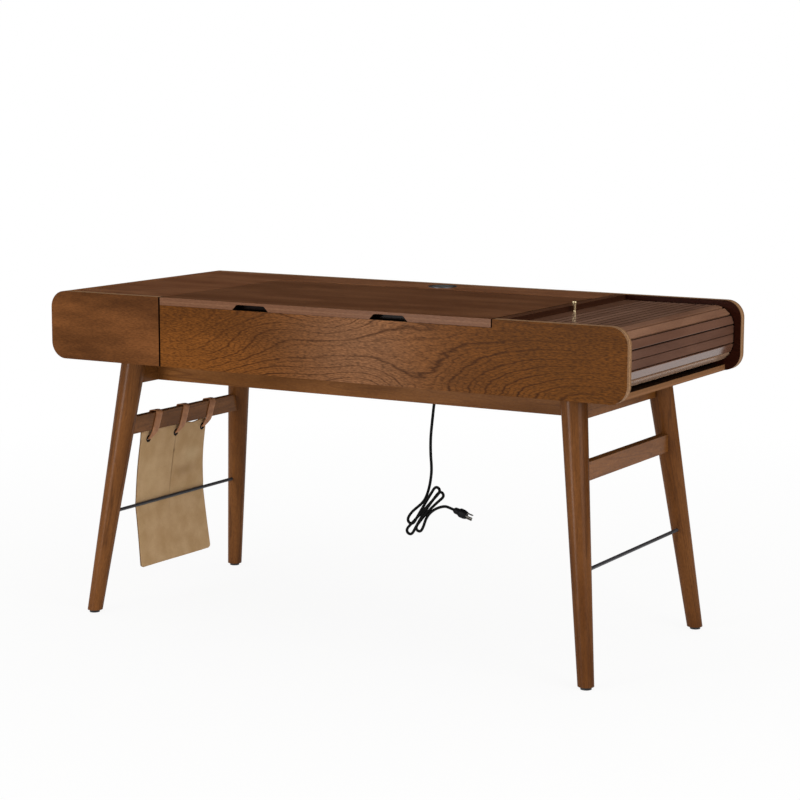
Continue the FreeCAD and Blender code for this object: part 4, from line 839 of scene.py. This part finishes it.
for middle in EYELETS:
    base = len(points)
    path = [
        Vector((x, middle + STRAP_PULL * clamp((z - STRAP_LOW) / (STRAP_HIGH - STRAP_LOW)), z))
        for x, z, half_width, half_thickness in STRAP_PATH
    ]
    count = len(path)
    for index, spot in enumerate(path):
        along = (path[(index + 1) % count] - path[index - 1]).normalized()
        out = along.cross(Vector((0, 1, 0))).normalized()
        aside = out.cross(along)
        half_width, half_thickness = (size * MM for size in STRAP_PATH[index][2:])
        for wide, deep in STRAP_SECTION:
            points.append(spot + aside * (wide * half_width) + out * (deep * half_thickness))
    ring_size = len(STRAP_SECTION)
    for index in range(count):
        here = base + index * ring_size
        after = base + (index + 1) % count * ring_size
        for side in range(ring_size):
            turn = (side + 1) % ring_size
            faces.append([here + side, here + turn, after + turn, after + side])
straps = add_mesh("leather_straps", points, faces, leather)
for face in straps.data.polygons:
    face.use_smooth = True
soft = straps.modifiers.new("rounded", "SUBSURF")
soft.levels = soft.render_levels = 1
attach(straps, "case")
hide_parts("sling_straps")

# Power socket: a black moulded housing let into the strip behind the lid, with a brushed metal bezel.
# Its face plate snaps in from above and has the openings of an earthed outlet.
FACE_MIDDLE = (0.002, 0.23725, 0.7629)
FACE_RADIUS = 0.0262
FACE_SIDES = 96
FACE_HALF_THICKNESS = 0.0003
SLOT_ASIDE = 0.0063
SLOT_HALF_WIDTH = 0.001
SLOT_LENGTH = 0.008
EARTH_RADIUS = 0.0024
EARTH_SIDES = 16
EARTH_DOWN = 0.007
# Brushed dark steel: grey and satin, with short marks along the brush
brushed_bezel = metal("brushed_dark_steel", ("#55565a", "#6b6c6f"), (0.3, 0.45), (0.6, 9, 9), 0.05)
dress(brushed_bezel, "power_bezel")
outline = round_points(FACE_RADIUS, FACE_SIDES)
slots = []
for middle in (-SLOT_ASIDE, SLOT_ASIDE):
    left, far_side = middle - SLOT_HALF_WIDTH, middle + SLOT_HALF_WIDTH
    slots.append([(left, 0.0), (far_side, 0.0), (far_side, SLOT_LENGTH), (left, SLOT_LENGTH)])
earth = [(x, y - EARTH_DOWN) for x, y in round_points(EARTH_RADIUS, EARTH_SIDES)]
plate = bpy.data.curves.new("socket_face", "CURVE")
plate.dimensions = "2D"
plate.fill_mode = "BOTH"
plate.extrude = FACE_HALF_THICKNESS
for loop in (outline, *slots, earth):
    spline = plate.splines.new("POLY")
    spline.points.add(len(loop) - 1)
    for point, (x, y) in zip(spline.points, loop):
        point.co = (x, y, 0, 1)
    spline.use_cyclic_u = True
face_plate = bpy.data.objects.new("socket_face", plate)
face_plate.location = FACE_MIDDLE
scene.collection.objects.link(face_plate)
# The same ABS in dark grey, moulded a little smoother
face_abs = pebbled("moulded_grey_abs", ("#474847", "#50514f"), 0.4, 0.9, 0.15)[0]
plate.materials.append(face_abs)
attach(face_plate, "case")

# Cord: a black round mains lead, out of the housing through the bottom board, its slack folded into a loose
# hank. One flexible PVC jacket from the relief to the plug, with a dull extruded skin.
CORD_DIAMETER = 0.007
# The route's points in metres: the lead down to the hank, and the tail from the hank to the plug
CORD_LEAD = (
    (0.0020, 0.2372, 0.6600), (0.0028, 0.2377, 0.6340), (0.0012, 0.2374, 0.6040),
    (-0.0045, 0.2369, 0.5680), (-0.0120, 0.2362, 0.5260), (-0.0190, 0.2366, 0.4820),
    (-0.0245, 0.2374, 0.4380), (-0.0295, 0.2382, 0.3960), (-0.0300, 0.2392, 0.3560),
    (-0.0275, 0.2404, 0.3220), (-0.0295, 0.2418, 0.2990), (-0.0350, 0.2426, 0.2710),
    (-0.0440, 0.2426, 0.2450), (-0.0560, 0.2423, 0.2290), (-0.0720, 0.2421, 0.2160),
    (-0.0840, 0.2419, 0.2050),
)
CORD_TAIL = (
    (-0.0390, 0.2236, 0.1802), (-0.0345, 0.2230, 0.1940), (-0.0275, 0.2228, 0.2060),
    (-0.0190, 0.2232, 0.2155), (-0.0085, 0.2244, 0.2235), (0.0040, 0.2260, 0.2295),
    (0.0180, 0.2271, 0.2330), (0.0291, 0.2273, 0.2307), (0.0425, 0.2274, 0.2266),
)
# Each fold of the hank: its bend's place along and across the hank, the bend's radius, its depth towards
# the front, and how far the strand that comes to it bows, in millimetres. Low and high bends take turns.
HANK_FOLDS = (
    (-48.5, -14.5, 10.0, 0.8, 0.0), (60.0, -3.0, 8.6, 5.8, -0.5), (-67.5, 2.0, 9.3, 10.0, 0.5),
    (63.0, 15.0, 8.2, 15.6, -3.5), (-41.0, 19.8, 8.5, 18.0, -3.6),
)
# The hank's middle, and how far it leans from upright
HANK_MIDDLE = Vector((-0.0441, 0.24225, 0.2170))
HANK_SLANT = math.radians(36.5)
BEND_STEPS = 4
STRAND_SHARES = (0.12, 0.34, 0.62, 0.88)
hank = []
for fold, (along, across, radius, depth, bow) in enumerate(HANK_FOLDS):
    way = 1 if fold % 2 else -1
    bend = []
    for step in range(BEND_STEPS + 1):
        turn = math.pi * step / BEND_STEPS
        bend.append(Vector((along + way * radius * math.sin(turn), across - radius * math.cos(turn), depth)))
    if hank:
        start = hank[-1]
        for share in STRAND_SHARES:
            hank.append(start.lerp(bend[0], share) + Vector((0, bow * math.sin(math.pi * share), 0)))
    hank += bend
hank_axes = Matrix((
    (math.sin(HANK_SLANT), math.cos(HANK_SLANT), 0),
    (0, 0, -1),
    (math.cos(HANK_SLANT), -math.sin(HANK_SLANT), 0),
))
cord_route = [*CORD_LEAD, *(HANK_MIDDLE + hank_axes @ spot * MM for spot in hank), *CORD_TAIL]
lead = bpy.data.curves.new("mains_cord", "CURVE")
lead.dimensions = "3D"
lead.bevel_depth = CORD_DIAMETER / 2
lead.bevel_resolution = 4
lead.resolution_u = 10
lead.use_fill_caps = True
route = lead.splines.new("NURBS")
route.points.add(len(cord_route) - 1)
for point, spot in zip(route.points, cord_route):
    point.co = (*spot, 1)
route.order_u = 3
route.use_endpoint_u = True
cord = bpy.data.objects.new("mains_cord", lead)
scene.collection.objects.link(cord)
# Extruded PVC: a deep, even black with hardly any gloss
pvc = pebbled("black_pvc_jacket", ("#040404", "#080808"), 0.55, 1.5, 0.12, shine=0.08)[0]
lead.materials.append(pvc)
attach(cord, "case")
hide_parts("cord_lead", "cord_hank", "cord_tail")

# Plug: moulded on the end of the cord in the same black PVC, over two flat blades and an earth pin of
# nickelled brass that stand out of its face.
# The way the plug points, and how far past the cord's end its blades begin
PLUG_HEADING = (0.95638, 0.01007, -0.29195)
BLADES_FROM = 0.0365
BLADE_COLOUR = "#6a6762"
# Moulded PVC: black with a soft gloss and a fine grain; past the face the same surface is grey bare metal
plug_pvc, tree, shader = pebbled(
    "moulded_plug_pvc", ("#080809", "#0e0e0f"), 0.5, 1.2, 0.15, shine=0.1
)
source = add_node(tree, "ShaderNodeTexCoord").outputs["Object"]
out = add_node(tree, "ShaderNodeVectorMath", {0: source, 1: CORD_TAIL[-1]}, operation="SUBTRACT")
out = add_node(tree, "ShaderNodeVectorMath", {0: out, 1: PLUG_HEADING}, operation="DOT_PRODUCT")
bare = add_node(tree, "ShaderNodeMath", {0: out.outputs["Value"], 1: BLADES_FROM}, operation="GREATER_THAN")
body = shader.inputs["Base Color"].links[0].from_socket
colour = add_node(tree, "ShaderNodeMixRGB", {"Fac": bare, "Color1": body, "Color2": tint(BLADE_COLOUR)})
tree.links.new(colour.outputs[0], shader.inputs["Base Color"])
tree.links.new(bare.outputs[0], shader.inputs["Metallic"])
dress(plug_pvc, "plug")
